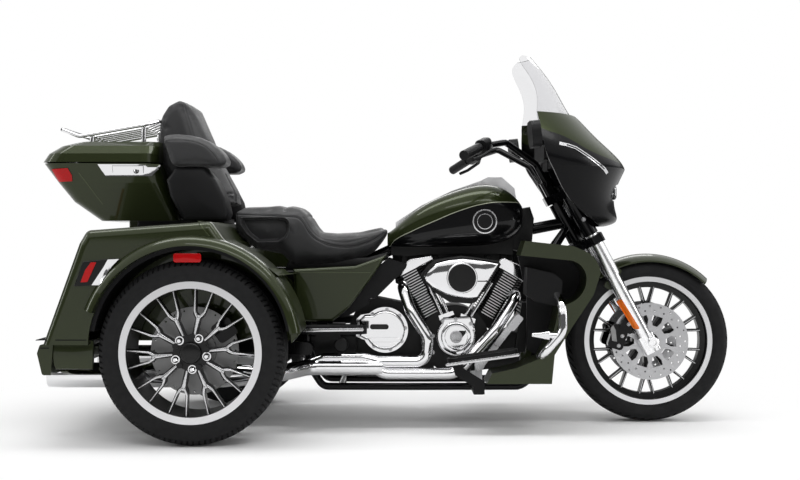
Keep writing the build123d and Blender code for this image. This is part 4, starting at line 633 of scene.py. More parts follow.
def onto(piece, points, toward, steps=10):
    """Drops a smooth route onto the piece's surface along a direction, and keeps the hits with their normals."""
    tree = surface_tree(piece)
    toward = Vector(toward).normalized()
    hits = []
    for point in smooth_route(points, steps):
        place, normal, _, _ = tree.ray_cast(point - toward * 0.5, toward)
        if place is not None:
            hits.append((place, normal))
    return hits


def press_seam(piece, hits, width=0.006, depth=0.003):
    """Presses a rounded groove into the surface along a seam."""
    places = []
    for (a, _), (b, _) in zip(hits, hits[1:]):
        count = max(2, int((b - a).length / 0.0015))
        places += [a.lerp(b, i / count) for i in range(count)]
    lookup = KDTree(len(places))
    for index, place in enumerate(places):
        lookup.insert(place, index)
    lookup.balance()
    count = len(piece.data.vertices)
    co, out = np.empty(count * 3), np.empty(count * 3)
    piece.data.vertices.foreach_get("co", co)
    piece.data.vertex_normals.foreach_get("vector", out)
    co, out = co.reshape(-1, 3), out.reshape(-1, 3)
    corners = np.array([p[:] for p in places])
    near = np.where(np.all((co > corners.min(0) - width) & (co < corners.max(0) + width), axis=1))[0]
    for index in near:
        distance = lookup.find(co[index])[2]
        if distance < width:
            co[index] -= out[index] * depth * (1 - (distance / width) ** 2) ** 2
    piece.data.vertices.foreach_set("co", co.ravel())
    piece.data.update()


def add_piping(name, rows, radius, finish, body, lift=0.0):
    """A thin welt along each row of surface hits."""
    mesh = bmesh.new()
    for hits in rows:
        if len(hits) > 2:
            pipe(mesh, [place + normal * lift for place, normal in hits], radius, 6)
    return new_piece(name, mesh, finish, body, 80)


def press_pocket(piece, outline, depth, soft, side):
    """Presses a pocket of that depth into one side, inside an (x, z) outline with a soft border."""
    corners = np.array(outline)
    co = np.array([v.co[:] for v in piece.data.vertices])
    flat = co[:, [0, 2]]
    distance = np.full(len(co), 1e9)
    inside = np.zeros(len(co), bool)
    for (ax, az), (bx, bz) in zip(corners, np.roll(corners, -1, axis=0)):
        run = np.array((bx - ax, bz - az))
        t = np.clip(((flat - (ax, az)) @ run) / (run @ run), 0, 1)
        distance = np.minimum(distance, np.linalg.norm(flat - (ax, az) - t[:, None] * run, axis=1))
        crosses = ((az > flat[:, 1]) != (bz > flat[:, 1])) & (
            flat[:, 0] < (bx - ax) * (flat[:, 1] - az) / (bz - az + 1e-12) + ax)
        inside ^= crosses
    fall = np.clip(np.where(inside, distance, 0) / soft, 0, 1)
    fall = fall * fall * (3 - 2 * fall)
    on_side = np.sign(co[:, 1]) == side
    co[:, 1] -= side * depth * fall * on_side * (np.abs(co[:, 1]) > 0.06)
    piece.data.vertices.foreach_set("co", co.ravel())
    piece.data.update()


# %% [markdown]
# The seat is a two-up touring seat in one shell: a deep bucket for the rider, a steep riser, and a broad pillion
# pad behind.  It is lofted from many cross-sections, each with its own height, depth and half width, so that the
# outline in the side view and the one from above both come out right.

# %% Seat
seat_top = ((-0.610, 0.836), (-0.577, 0.841), (-0.481, 0.8435), (-0.441, 0.848), (-0.416, 0.841), (-0.390, 0.846),
            (-0.356, 0.839), (-0.336, 0.822), (-0.318, 0.793), (-0.304, 0.768), (-0.282, 0.744), (-0.218, 0.739),
            (-0.132, 0.744), (-0.076, 0.757), (-0.028, 0.768), (-0.018, 0.764))
seat_base = ((-0.610, 0.745), (-0.530, 0.680), (-0.430, 0.662), (-0.404, 0.634), (-0.381, 0.614), (-0.217, 0.621),
             (-0.144, 0.634), (-0.076, 0.668), (-0.046, 0.706), (-0.018, 0.748))
seat_half = ((-0.610, 0.185), (-0.54, 0.196), (-0.42, 0.196), (-0.33, 0.186), (-0.24, 0.176), (-0.15, 0.160),
             (-0.08, 0.125), (-0.018, 0.085))


def along_rows(rows, x):
    return float(np.interp(x, [r[0] for r in rows], [r[1] for r in rows]))


def cushion_ring(x, half, low, high, inset, count=56):
    """A rounded cross-section: full shoulders at the top, sides that slope in a little towards the base."""
    ring = []
    half, low, high = half - inset, low + inset, high - inset
    middle, reach = (low + high) / 2, (high - low) / 2
    for angle in np.linspace(0, math.tau, count, endpoint=False):
        c, s = math.cos(angle), math.sin(angle)
        across = math.copysign(abs(c) ** 0.45, c)
        up = math.copysign(abs(s) ** (0.42 if s > 0 else 0.5), s)
        taper = 1 - 0.06 * max(0.0, -up)
        ring.append((x, half * across * taper, middle + reach * up))
    return ring


seat_inset = 0.004
mesh = bmesh.new()
stations = np.linspace(-0.606, -0.022, 84)
loft(mesh, [cushion_ring(x, along_rows(seat_half, x), along_rows(seat_base, x), along_rows(seat_top, x), seat_inset)
            for x in stations])
seat = new_piece("touring_seat", mesh, seat_vinyl, "chassis")
swell(seat, voxel=0.0065, cap=0.006, rounding=3)
hand_hold = ((-0.583, 0.800), (-0.44, 0.802), (-0.408, 0.796), (-0.396, 0.778), (-0.400, 0.745), (-0.412, 0.722),
             (-0.438, 0.708), (-0.52, 0.706), (-0.560, 0.740), (-0.583, 0.775))
for side in (1, -1):
    press_pocket(seat, hand_hold, 0.030, 0.012, side)
welts = []
for side in (1, -1):
    away = 0.4 * side
    shoulder = [(-0.600, away, 0.8145), (-0.52, away, 0.812), (-0.412, away, 0.806), (-0.369, away, 0.8018),
                (-0.3436, away, 0.782), (-0.3137, away, 0.7355), (-0.271, away, 0.7056), (-0.2155, away, 0.690),
                (-0.150, away, 0.690), (-0.08, away, 0.712), (-0.035, away, 0.742)]
    crease = [(-0.3436, away, 0.7995), (-0.3094, away, 0.7483), (-0.2668, away, 0.7184), (-0.1814, away, 0.706),
              (-0.10, away, 0.725)]
    for route, depth in ((shoulder, 0.0030), (crease, 0.0016)):
        hits = onto(seat, route, (0, -side, 0))
        press_seam(seat, hits, 0.007, depth)
        if route is shoulder:
            welts.append(onto(seat, route, (0, -side, 0)))
for x, reach in ((-0.4165, 0.15), (-0.325, 0.14)):
    across = [(x, y, 1.2) for y in np.linspace(-reach, reach, 7)]
    press_seam(seat, onto(seat, across, (0, 0, -1)), 0.009, 0.0035)
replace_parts(seat, "seat")
add_piping("seat_welts", welts, 0.0016, seat_piping, "chassis", 0.0002)
rim = bmesh.new()
for side in (1, -1):
    rows = onto(seat, [(x, 0.4 * side, z) for x, z in hand_hold[:7]], (0, -side, 0))
    pipe(rim, [place + normal * 0.001 for place, normal in rows], 0.0026, 8)
new_piece("hand_hold_rims", rim, seat_piping, "chassis", 80)

# %% [markdown]
# The passenger's backrest has a crowned front and flat wrapped sides.  Its rings run across the vehicle, and each
# one blends from the flat side outline to the fuller one in the middle.  Below, the lumbar cushion is sewn into
# ribs.

# %% Backrest
side_outline = np.array([(-0.800, 0.856), (-0.880, 0.980), (-0.893, 1.010), (-0.900, 1.060), (-0.900, 1.150),
                         (-0.888, 1.200), (-0.864, 1.234), (-0.822, 1.254), (-0.806, 1.247), (-0.795, 1.212),
                         (-0.767, 1.119), (-0.752, 1.040), (-0.722, 0.972), (-0.686, 0.905), (-0.664, 0.856)])
middle_outline = np.array([(-0.800, 0.856), (-0.884, 0.980), (-0.898, 1.010), (-0.903, 1.060), (-0.903, 1.154),
                           (-0.891, 1.205), (-0.866, 1.239), (-0.821, 1.256), (-0.790, 1.250), (-0.771, 1.226),
                           (-0.717, 1.104), (-0.693, 1.040), (-0.657, 0.972), (-0.620, 0.905), (-0.600, 0.856)])
backrest_half = 0.149
mesh = bmesh.new()
rings = []
for share in np.linspace(-1, 1, 25):
    fullness = 1 - abs(share) ** 2.6
    outline = side_outline + (middle_outline - side_outline) * fullness
    rings.append([(x, backrest_half * share, z) for x, z in outline])
loft(mesh, rings)
backrest = new_piece("passenger_backrest", mesh, seat_vinyl, "chassis")
swell(backrest, voxel=0.006, cap=0.005, rounding=2)


def nearest_hits(piece, points, steps=10):
    """Snaps a smooth route to the nearest surface of the piece."""
    tree = surface_tree(piece)
    hits = []
    for point in smooth_route(points, steps):
        place, normal, _, _ = tree.find_nearest(point)
        hits.append((place, normal))
    return hits


welts = []
for side in (1, -1):
    edge = nearest_hits(backrest, [(x, side * 0.146, z) for x, z in side_outline[7:12]])
    press_seam(backrest, edge, 0.006, 0.002)
    welts.append(nearest_hits(backrest, [(x, side * 0.146, z) for x, z in side_outline[7:12]]))
    rib = nearest_hits(backrest, [(-0.60, side * 0.068, z) for z in (1.0, 0.96, 0.92, 0.89, 0.862)])
    press_seam(backrest, rib, 0.010, 0.006)
    bar = nearest_hits(backrest, [(-0.60, side * y, 0.905) for y in (0.07, 0.09, 0.11, 0.13, 0.147)])
    press_seam(backrest, bar, 0.008, 0.005)
brow = nearest_hits(backrest, [(-0.60, y, 1.045) for y in np.linspace(-0.14, 0.14, 9)])
press_seam(backrest, brow, 0.010, 0.005)
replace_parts(backrest, "backrest")
add_piping("backrest_welts", welts, 0.0018, seat_piping, "chassis", 0.0002)

# %% [markdown]
# The armrests are firm pads whose tops roll over to a flat outer side.  A welt runs where the roll meets the
# flat, which is what catches the light.

# %% Armrests
arm_top = [(-0.822, 0.992), (-0.860, 1.106), (-0.810, 1.110), (-0.760, 1.105), (-0.716, 1.095), (-0.684, 1.080),
           (-0.655, 1.058), (-0.632, 1.034), (-0.620, 1.012), (-0.624, 0.999), (-0.642, 0.992)]
arm_side = [(-0.822, 0.993), (-0.853, 1.085), (-0.810, 1.089), (-0.760, 1.086), (-0.722, 1.077), (-0.694, 1.063),
            (-0.672, 1.043), (-0.655, 1.021), (-0.648, 1.005), (-0.652, 0.997), (-0.662, 0.993)]
mesh = bmesh.new()
for side in (1, -1):
    loft(mesh, [[(x, side * y, z) for x, z in outline] for y, outline in
                ((0.153, arm_top), (0.20, arm_top), (0.25, arm_top), (0.282, arm_top), (0.307, arm_side))])
armrests = new_piece("passenger_armrests", mesh, seat_vinyl, "chassis")
swell(armrests, voxel=0.005, cap=0.003, rounding=2)
welts = []
for side in (1, -1):
    route = [(x, side * 0.307, z) for x, z in arm_side[1:10]]
    press_seam(armrests, nearest_hits(armrests, route), 0.005, 0.0015)
    welts.append(nearest_hits(armrests, route))
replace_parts(armrests, "armrests")
add_piping("armrest_welts", welts, 0.0017, seat_piping, "chassis", 0.0002)

# %% [markdown]
# The speaker pods under the armrests are hard plastic shells.  The outer face has a generous round along its
# edge.  A perforated grille faces forward, towards the passenger, but it isn't drawn here.

# %% Speaker pods
pod_outline = [(-0.812, 0.988), (-0.705, 0.988), (-0.662, 0.940), (-0.626, 0.870), (-0.614, 0.815), (-0.622, 0.790),
               (-0.656, 0.787), (-0.784, 0.787), (-0.834, 0.880), (-0.848, 0.940)]
mesh = bmesh.new()
for side in (1, -1):
    side_block(mesh, pod_outline, side * 0.153, side * 0.291, 0.016)
pods = new_piece("speaker_pod_shells", mesh, moulded_black, "chassis", 60)
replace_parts(pods, "speaker_pods")

# %% [markdown]
# ## Tyres
# A tyre is a grid of points: columns round it, rows across it.  The columns of one tread pitch are spaced so that
# groove edges fall exactly on them, and the whole grid is slanted to make the grooves run diagonally.  The rows
# follow the real cross-section from bead to bead, with thin raised rings on the sidewall.

# %% Tyre builder
def even_profile(corners, count):
    """Even steps along a smooth curve through (half width, radius) points, mirrored to both sides."""
    half = [np.array(p[:2]) for p in smooth_route([(*c, 0) for c in corners], 12)]
    lengths = np.concatenate(([0], np.cumsum([np.linalg.norm(b - a) for a, b in zip(half, half[1:])])))
    at = np.linspace(0, lengths[-1], count)
    side = np.column_stack([np.interp(at, lengths, [p[i] for p in half]) for i in (0, 1)])
    return np.vstack((side, side[-2::-1] * (-1, 1)))


def add_tyre(name, node, body, centre, corners, pitches, columns, zone, rings, depth, slant, ribs=()):
    profile = even_profile(corners, 34)
    across, radius = profile[:, 0], profile[:, 1]
    tangent = np.gradient(profile, axis=0)
    normal = np.column_stack((-tangent[:, 1], tangent[:, 0]))
    normal /= np.linalg.norm(normal, axis=1, keepdims=True)
    normal *= np.sign(normal[:, 1:2] + normal[:, 0:1] * across[:, None] * 40 + 1e-9)
    in_zone = ((np.abs(across) > zone[0]) & (np.abs(across) < zone[1]) & (radius > radius.max() - 0.03))
    cut = np.zeros(len(across))
    for ring in rings:
        cut[np.argmin(np.abs(np.where(radius > radius.max() - 0.03, across, 9) - ring))] = depth
    lift = np.zeros(len(across))
    for rib_radius in ribs:
        for side in (1, -1):
            near = np.where(np.sign(across) == side, np.abs(radius - rib_radius), 9)
            lift[np.argmin(near)] = 0.0012
    fractions = np.array([c[0] for c in columns])
    grooves = np.array([c[1] for c in columns], float)
    angles = ((np.arange(pitches)[:, None] + fractions[None, :]) / pitches * math.tau).ravel()
    flags = np.tile(grooves, pitches)
    inner = np.maximum(np.abs(across) - zone[0], 0)
    lean = slant * inner / radius
    verts = []
    for angle, flag in zip(angles, flags):
        drop = np.maximum(cut, depth * flag * in_zone) - lift
        y = across - normal[:, 0] * drop
        r = radius - normal[:, 1] * drop
        turned = angle + lean
        verts.append(np.column_stack((centre[0] + r * np.cos(turned), centre[1] + y, centre[2] + r * np.sin(turned))))
    verts = np.vstack(verts)
    rows, total = len(across), len(angles)
    faces = []
    for i in range(total):
        j = (i + 1) % total
        faces += [(i * rows + k, i * rows + k + 1, j * rows + k + 1, j * rows + k) for k in range(rows - 1)]
    data = bpy.data.meshes.new(name)
    data.from_pydata(verts.tolist(), [], faces)
    data.materials.append(tyre_rubber)
    for polygon in data.polygons:
        polygon.use_smooth = True
    data.set_sharp_from_angle(angle=math.radians(50))
    tyre = bpy.data.objects.new(name, data)
    scene.collection.objects.link(tyre)
    mesh = bmesh.new()
    mesh.from_mesh(data)
    bmesh.ops.recalc_face_normals(mesh, faces=mesh.faces)
    mesh.to_mesh(data)
    mesh.free()
    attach(tyre, body)
    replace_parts(tyre, node)
    print(name, "triangles", 2 * len(faces))


def wheel_centre(node):
    low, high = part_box(node)
    return (low + high) / 2


tread_columns = ((0.0, 0), (0.06, 1), (0.30, 1), (0.36, 0), (0.68, 0))
front_corners = ((0.047, 0.247), (0.056, 0.258), (0.0625, 0.270), (0.0648, 0.284), (0.0605, 0.299), (0.047, 0.3105),
                 (0.026, 0.317), (0.0, 0.319))
rear_corners = ((0.095, 0.240), (0.1025, 0.252), (0.1065, 0.270), (0.1065, 0.290), (0.1015, 0.307),
                (0.090, 0.317), (0.068, 0.3225), (0.035, 0.3245), (0.0, 0.325))
add_tyre("front_tyre_tread", "front_tyre", "front_wheel", wheel_centre("front_tyre"), front_corners, 60,
         tread_columns, (0.010, 0.056), (0.0,), 0.0045, 0.9, (0.262, 0.268, 0.292))
for side in ("left", "right"):
    add_tyre(f"rear_tyre_tread_{side}", f"rear_tyre_{side}", f"rear_wheel_{side}",
             wheel_centre(f"rear_tyre_{side}"), rear_corners, 96, tread_columns, (0.070, 0.103),
             (-0.062, -0.022, 0.022, 0.062), 0.006, 0.25, (0.256, 0.262, 0.300))

# %% [markdown]
# ## Wheels
# The cast wheels are painted black and then skimmed on a lathe, which leaves a bright lip and a thin bright face
# on every spoke.  The lip is painted by the shader, which measures the distance from the axle.  The spoke faces
# are thin bevelled ribbons laid on the black spokes.

# %% Lip finish
rim_black, lip_metal = (0.005, 0.005, 0.005), (0.72, 0.72, 0.73)


def lip_finish(name, centre, lip_from, lip_to):
    """Black inside a radius, turned metal between two radii."""
    finish = new_finish(name, rim_black, roughness=0.3, specular=0.3)
    from_axle = calc(finish, "SUBTRACT", position(finish), centre, vector=True)
    in_plane = calc(finish, "MULTIPLY", from_axle, (1, 0, 1), vector=True)
    reach = calc(finish, "LENGTH", in_plane, vector=True)
    band = calc(finish, "MULTIPLY", calc(finish, "GREATER_THAN", reach, lip_from),
                calc(finish, "LESS_THAN", reach, lip_to))
    metal_where(finish, band, rim_black, lip_metal)
    return finish


front_axle = Vector((wheel_centre("front_tyre").x, 0, wheel_centre("front_tyre").z))
rear_axle = Vector((wheel_centre("rear_tyre_left").x, 0, wheel_centre("rear_tyre_left").z))
lip_end = 0.300
nodes["front_wheel"].data.materials[0] = lip_finish("front_rim_paint", front_axle, 0.2325, lip_end)
rear_lip = lip_finish("rear_rim_paint", rear_axle, 0.2225, lip_end)
for side in ("left", "right"):
    nodes[f"rear_wheel_{side}"].data.materials[0] = rear_lip


def ribbon(mesh, path, centre, angle, face_y, side, rise=0.0009):
    """A bevelled strip along (radius, offset, width) points, turned to an angle about the axle."""
    c, s = math.cos(angle), math.sin(angle)
    rows = []
    for index, (reach, off, width) in enumerate(path):
        before, after = path[max(index - 1, 0)], path[min(index + 1, len(path) - 1)]
        run = Vector((after[0] - before[0], after[1] - before[1])).normalized()
        across = Vector((-run.y, run.x))
        row = []
        for share, lift in ((-0.5, 0.0), (-0.36, rise), (0.36, rise), (0.5, 0.0)):
            u, v = reach + across.x * width * share, off + across.y * width * share
            row.append(mesh.verts.new((centre.x + u * c - v * s, face_y + side * lift, centre.z + u * s + v * c)))
        rows.append(row)
    for low, high in zip(rows, rows[1:]):
        for i in range(3):
            mesh.faces.new((low[i], low[i + 1], high[i + 1], high[i]))


def mirrored(path):
    return [(reach, -off, width) for reach, off, width in path]


rear_stem = [(0.064, 0, 0.005), (0.095, 0, 0.0085), (0.122, 0, 0.012), (0.133, 0, 0.013)]
rear_prong = [(0.124, 0.003, 0.006), (0.134, 0.010, 0.0075), (0.147, 0.0172, 0.0065), (0.185, 0.0243, 0.004),
              (0.222, 0.0312, 0.003)]
front_prong = [(0.150, 0.0125, 0.003), (0.185, 0.0215, 0.003), (0.2165, 0.0296, 0.0028)]
front_arch = [(0.148, -0.011, 0.003), (0.146, 0.0, 0.003), (0.148, 0.011, 0.003)]
spokes = 10
spoke_turn = math.tau / spokes
rear_spoke_face, front_spoke_face = 0.6331, 0.0191
rear_first, front_first = math.radians(6), math.radians(18)
for label, side in (("left", 1), ("right", -1)):
    mesh = bmesh.new()
    for index in range(spokes):
        for path in (rear_stem, rear_prong, mirrored(rear_prong)):
            ribbon(mesh, path, rear_axle, rear_first + index * spoke_turn, side * rear_spoke_face, side)
    new_piece(f"rear_spoke_faces_{label}", mesh, machined, f"rear_wheel_{label}", 60)
mesh = bmesh.new()
for side in (1, -1):
    for index in range(spokes):
        for path in (front_prong, mirrored(front_prong), front_arch):
            ribbon(mesh, path, front_axle, front_first + index * spoke_turn, side * front_spoke_face, side)
new_piece("front_spoke_faces", mesh, machined, "front_wheel", 60)

# %% [markdown]
# Lug nuts are bright cones with a hexagon, and the hub cap is a plain dark dome with a raised ring.

# %% Hub details
nut_count, nut_circle, nut_first, hub_face = 5, 0.05715, math.radians(-12), 0.633
for label, side in (("left", 1), ("right", -1)):
    mesh = bmesh.new()
    out = (0, side, 0)
    hub = Vector((rear_axle.x, side * hub_face, rear_axle.z))
    for index in range(nut_count):
        angle = nut_first + index * math.tau / nut_count
        spot = hub + Vector((nut_circle * math.cos(angle), 0, nut_circle * math.sin(angle)))
        turn(mesh, [(0.0005, 0.0150), (0.0035, 0.0152), (0.0035, 0.0118), (0.009, 0.0112)], spot, out, 24, 0)
        turn(mesh, [(0.006, 0.0098), (0.017, 0.0092), (0.0195, 0.0068), (0.0200, 0)], spot, out, 6, 0)
    new_piece(f"lug_nuts_{label}", mesh, chrome, f"rear_wheel_{label}", 25)
    mesh = bmesh.new()
    turn(mesh, [(0.0005, 0.0385), (0.010, 0.0375), (0.0135, 0.034), (0.0142, 0.030), (0.0134, 0.029),
                (0.0148, 0.022), (0.0160, 0.010), (0.0163, 0)], hub, out, 48, 0)
    new_piece(f"hub_cap_{label}", mesh, wheel_black, f"rear_wheel_{label}", 40)

rotor_grey = new_finish("rotor_grey", (0.30, 0.30, 0.30), metallic=0.6, roughness=0.45)
for label in ("left", "right"):
    nodes[f"rear_brake_disc_{label}"].data.materials[0] = rotor_grey

# %% [markdown]
# The front axle shows as a stepped boss with a dark hex socket.  The callipers get bright bolts and a lighter
# cover plate, and each slider carries an amber reflector.

# %% Front end details
polished = new_finish("polished", (0.95, 0.95, 0.96), metallic=1.0, roughness=0.2)
vary_roughness(polished, 50, 0.16, 0.26)
nodes["fork_legs"].data.materials[0] = polished


def node_tree(*names):
    """One search tree over the surfaces of several nodes."""
    mesh = bmesh.new()
    for name in names:
        mesh.from_mesh(nodes[name].data)
    tree = BVHTree.FromBMesh(mesh)
    mesh.free()
    return tree


def plate_on(mesh, tree, outline, side, thickness, finish_index=0, sink=0.001, cuts=3, span=1.0):
    """A thin plate cut to an (x, z) outline, laid on a surface seen from one side.

    Where the surface falls away further than the span, the plate runs straight on and only its rim follows."""
    flat = bmesh.new()
    flat.faces.new([flat.verts.new((x, 0, z)) for x, z in outline])
    bmesh.ops.triangulate(flat, faces=flat.faces)
    bmesh.ops.subdivide_edges(flat, edges=flat.edges, cuts=cuts, use_grid_fill=True)
    floor_of = {}
    last = side * 0.3
    for vertex in flat.verts:
        place = tree.ray_cast(Vector((vertex.co.x, side * 1.5, vertex.co.z)), Vector((0, -side, 0)))[0]
        last = place.y if place else last
        floor_of[vertex] = last
    crest = max(side * y for y in floor_of.values())
    face_of = {v: side * max(side * y, crest - span) for v, y in floor_of.items()}
    lower = {v: mesh.verts.new((v.co.x, floor_of[v] - side * sink, v.co.z)) for v in flat.verts}
    upper = {v: mesh.verts.new((v.co.x, face_of[v] + side * thickness, v.co.z)) for v in flat.verts}
    for face in flat.faces:
        mesh.faces.new([upper[v] for v in face.verts]).material_index = finish_index
    for edge in flat.edges:
        if edge.is_boundary:
            a, b = edge.verts
            mesh.faces.new((upper[a], upper[b], lower[b], lower[a])).material_index = finish_index
    flat.free()


mesh = bmesh.new()
slider_tree = node_tree("fork_legs")
reflector = [(0.868, 0.482), (0.882, 0.484), (0.949, 0.378), (0.949, 0.371), (0.936, 0.371), (0.929, 0.374),
             (0.8655, 0.474)]
for side in (1, -1):
    plate_on(mesh, slider_tree, reflector, side, 0.003)
new_piece("fork_reflectors", mesh, amber_lens, "steering", 30)
mesh = bmesh.new()
for side in (1, -1):
    boss = Vector((front_axle.x, side * abs(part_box("fork_legs")[1].y), front_axle.z))
    boss.y -= side * 0.006
    turn(mesh, [(0, 0.022), (0.009, 0.021), (0.011, 0.018), (0.011, 0.0105)], boss, (0, side, 0), 36, 0)
    turn(mesh, [(0.0108, 0.0106), (0.002, 0.0100), (0.002, 0)], boss, (0, side, 0), 36, 1)
new_piece("axle_bosses", mesh, [polished, wheel_black], "steering", 30)

caliper_tree = node_tree("front_calipers")
low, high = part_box("front_calipers")
middle = (low + high) / 2
mesh = bmesh.new()
for side in (1, -1):
    panel = [(middle.x - 0.040, middle.z - 0.030), (middle.x - 0.022, middle.z - 0.034),
             (middle.x - 0.026, middle.z + 0.012), (middle.x - 0.036, middle.z + 0.030),
             (middle.x - 0.046, middle.z + 0.018)]
    plate_on(mesh, caliper_tree, panel, side, 0.0015)
new_piece("calliper_plates", mesh, rotor_grey, "steering", 30)
mesh = bmesh.new()
for side in (1, -1):
    for dx, dz in ((-0.028, 0.046), (0.000, -0.012), (-0.014, -0.050), (0.024, 0.034), (0.030, -0.010)):
        place = caliper_tree.ray_cast(Vector((middle.x + dx, side, middle.z + dz)), Vector((0, -side, 0)))[0]
        if place:
            hex_bolt(mesh, place, (0, side, 0), 0.0055, 0.005)
new_piece("calliper_bolts", mesh, satin_silver, "steering", 30)

# %% [markdown]
# ## Lamps, latch and trim
# Small bright pieces are cut to their outlines and laid on whatever bodywork is behind them, so they follow its
# curve without being bent by hand.

# %% Tail lamps and markers
tail_tree = node_tree("rear_body", "rear_lamps")
lamp_housing = new_finish("lamp_housing", lens_red, roughness=0.15, specular=0.25)
lens_half_width = 0.600
housing_part = calc(lamp_housing, "GREATER_THAN", calc(lamp_housing, "ABSOLUTE", position(lamp_housing, "Y")),
                    lens_half_width)
join(lamp_housing, blend(lamp_housing, housing_part, lens_red, (0.003, 0.003, 0.003)),
     shader_of(lamp_housing).inputs["Base Color"])
nodes["rear_lamps"].data.materials[0] = lamp_housing
red_part = [(-1.068, 0.5697), (-1.0446, 0.571), (-1.014, 0.6387), (-1.032, 0.6387), (-1.052, 0.612)]
bright_part = [(-1.0279, 0.5604), (-1.000, 0.5604), (-0.9595, 0.6240), (-0.934, 0.6500), (-0.9725, 0.6480),
               (-0.9863, 0.6233)]
mesh = bmesh.new()
for side in (1, -1):
    plate_on(mesh, tail_tree, red_part, side, 0.004, 0)
    plate_on(mesh, tail_tree, bright_part, side, 0.003, 1, span=0.006)
new_piece("tail_lamp_faces", mesh, [red_lens, chrome], "chassis", 30)


def rounded_outline(x0, x1, z0, z1, radius, steps=6):
    points = []
    for cx, cz, start in ((x1 - radius, z1 - radius, 0), (x0 + radius, z1 - radius, 90),
                          (x0 + radius, z0 + radius, 180), (x1 - radius, z0 + radius, 270)):
        for step in range(steps + 1):
            a = math.radians(start + 90 * step / steps)
            points.append((cx + radius * math.cos(a), cz + radius * math.sin(a)))
    return points


mesh = bmesh.new()
for side in (1, -1):
    side_block(mesh, rounded_outline(-0.7506, -0.655, 0.638, 0.6695, 0.008), side * 0.6585, side * 0.6665, 0.002)
new_piece("arch_markers", mesh, red_lens, "chassis", 40)

box_tree = node_tree("luggage_box")
corner_lamp = [(-1.283, 0.981), (-1.2194, 0.9845), (-1.2058, 0.9577), (-1.2058, 0.9359), (-1.2563, 0.934),
               (-1.265, 0.9359)]
mesh = bmesh.new()
for side in (1, -1):
    plate_on(mesh, box_tree, corner_lamp, side, 0.004)
new_piece("luggage_corner_lamps", mesh, red_lens, "chassis", 30)

# %% Luggage latch
latch = [(-1.106, 0.999), (-0.873, 0.999), (-0.871, 0.991), (-0.905, 0.955), (-1.077, 0.9545), (-1.090, 0.972)]
flap = [(-1.050, 0.992), (-0.936, 0.992), (-0.936, 0.9585), (-1.050, 0.9585)]
mesh = bmesh.new()
for side in (1, -1):
    plate_on(mesh, box_tree, latch, side, 0.003, 0, span=0.010)
    plate_on(mesh, box_tree, [(x + 0.0015 * (1 if x > -1 else -1), z + 0.0015 * (1 if z > 0.97 else -1))
                              for x, z in flap], side, 0.0034, 1, span=0.010)
    plate_on(mesh, box_tree, flap, side, 0.005, 0, span=0.010)
    lock = box_tree.ray_cast(Vector((-0.962, side, 0.974)), Vector((0, -side, 0)))[0] + Vector((0, side * 0.005, 0))
    turn(mesh, [(0, 0.0105), (0.0015, 0.010), (0.0015, 0.007)], lock, (0, side, 0), 24, 1)
    turn(mesh, [(0.0015, 0.0072), (0.0022, 0.0062), (0.0024, 0)], lock, (0, side, 0), 24, 0)
new_piece("luggage_latches", mesh, [chrome, wheel_black], "chassis", 30)

# %% [markdown]
# ## Engine
# The fins are black with bright skimmed edges.  The shader puts the metal only on what faces sideways, close to
# the middle of each cylinder: the skimming is real, and keeping it to that band paints in the highlight where the
# light catches the edges.

# %% Fin finish
vee_point = (0.254, 0, 0.229)
fin_black, fin_metal, skimmed_from = (0.008, 0.008, 0.008), (0.75, 0.75, 0.76), 0.0912


def fin_finish(name, lean, half_span=0.030):
    """Skimmed metal on the fins' outer edges, in a painted-highlight band near the middle of a cylinder leaning by an
    angle.
    """
    finish = new_finish(name, fin_black, roughness=0.4, specular=0.35)
    from_vee = calc(finish, "SUBTRACT", position(finish), vee_point, vector=True)
    across = calc(finish, "DOT_PRODUCT", from_vee, (math.cos(lean), 0, -math.sin(lean)), vector=True)
    # Keeping the metal to this band near the middle paints in the highlight on the skimmed edges.
    near = calc(finish, "LESS_THAN", calc(finish, "ABSOLUTE", across), half_span)
    edge = calc(finish, "GREATER_THAN", calc(finish, "ABSOLUTE", position(finish, "Y")), skimmed_from)
    metal_where(finish, calc(finish, "MULTIPLY", near, edge), fin_black, fin_metal)
    return finish


nodes["cylinder_front"].data.materials[0] = fin_finish("front_fins", math.radians(30.5))
nodes["cylinder_rear"].data.materials[0] = fin_finish("rear_fins", math.radians(-28))

# %% [markdown]
# The air cleaner is a chrome teardrop cover over a black base.  A round plain inset sits in its middle, with a
# bright ring, and a slot runs from it to the front edge.

# %% Air cleaner
cover = [(0.1174, 0.581), (0.135, 0.604), (0.1626, 0.630), (0.205, 0.642), (0.2612, 0.648), (0.33, 0.641),
         (0.3983, 0.627), (0.372, 0.582), (0.345, 0.540), (0.3168, 0.498), (0.285, 0.4955), (0.2526, 0.4995),
         (0.195, 0.513), (0.1454, 0.538), (0.124, 0.560)]
base = [(0.108, 0.583), (0.130, 0.612), (0.158, 0.640), (0.2612, 0.656), (0.400, 0.638), (0.412, 0.622),
        (0.352, 0.528), (0.318, 0.480), (0.30, 0.472), (0.215, 0.478), (0.160, 0.515), (0.118, 0.556)]
mesh = bmesh.new()
side_block(mesh, base, -0.150, -0.205, 0.006, 1)
side_block(mesh, cover, -0.206, -0.288, 0.014, 0)
inset = Vector((0.259, -0.288, 0.573))
turn(mesh, [(-0.002, 0.058), (0.004, 0.0575), (0.0062, 0.0555), (0.0062, 0.0525), (0.003, 0.0515)], inset,
     (0, -1, 0), 64, 0)
turn(mesh, [(0.0025, 0.052), (0.0036, 0.048), (0.0042, 0.030), (0.0044, 0)], inset, (0, -1, 0), 64, 1)
side_block(mesh, [(0.317, 0.5625), (0.357, 0.5625), (0.357, 0.559), (0.317, 0.559)], -0.2885, -0.2891, 0, 1)
side_block(mesh, [(0.14, 0.545), (0.384, 0.545), (0.366, 0.508), (0.158, 0.508)], -0.033, 0.033, 0.004, 1)
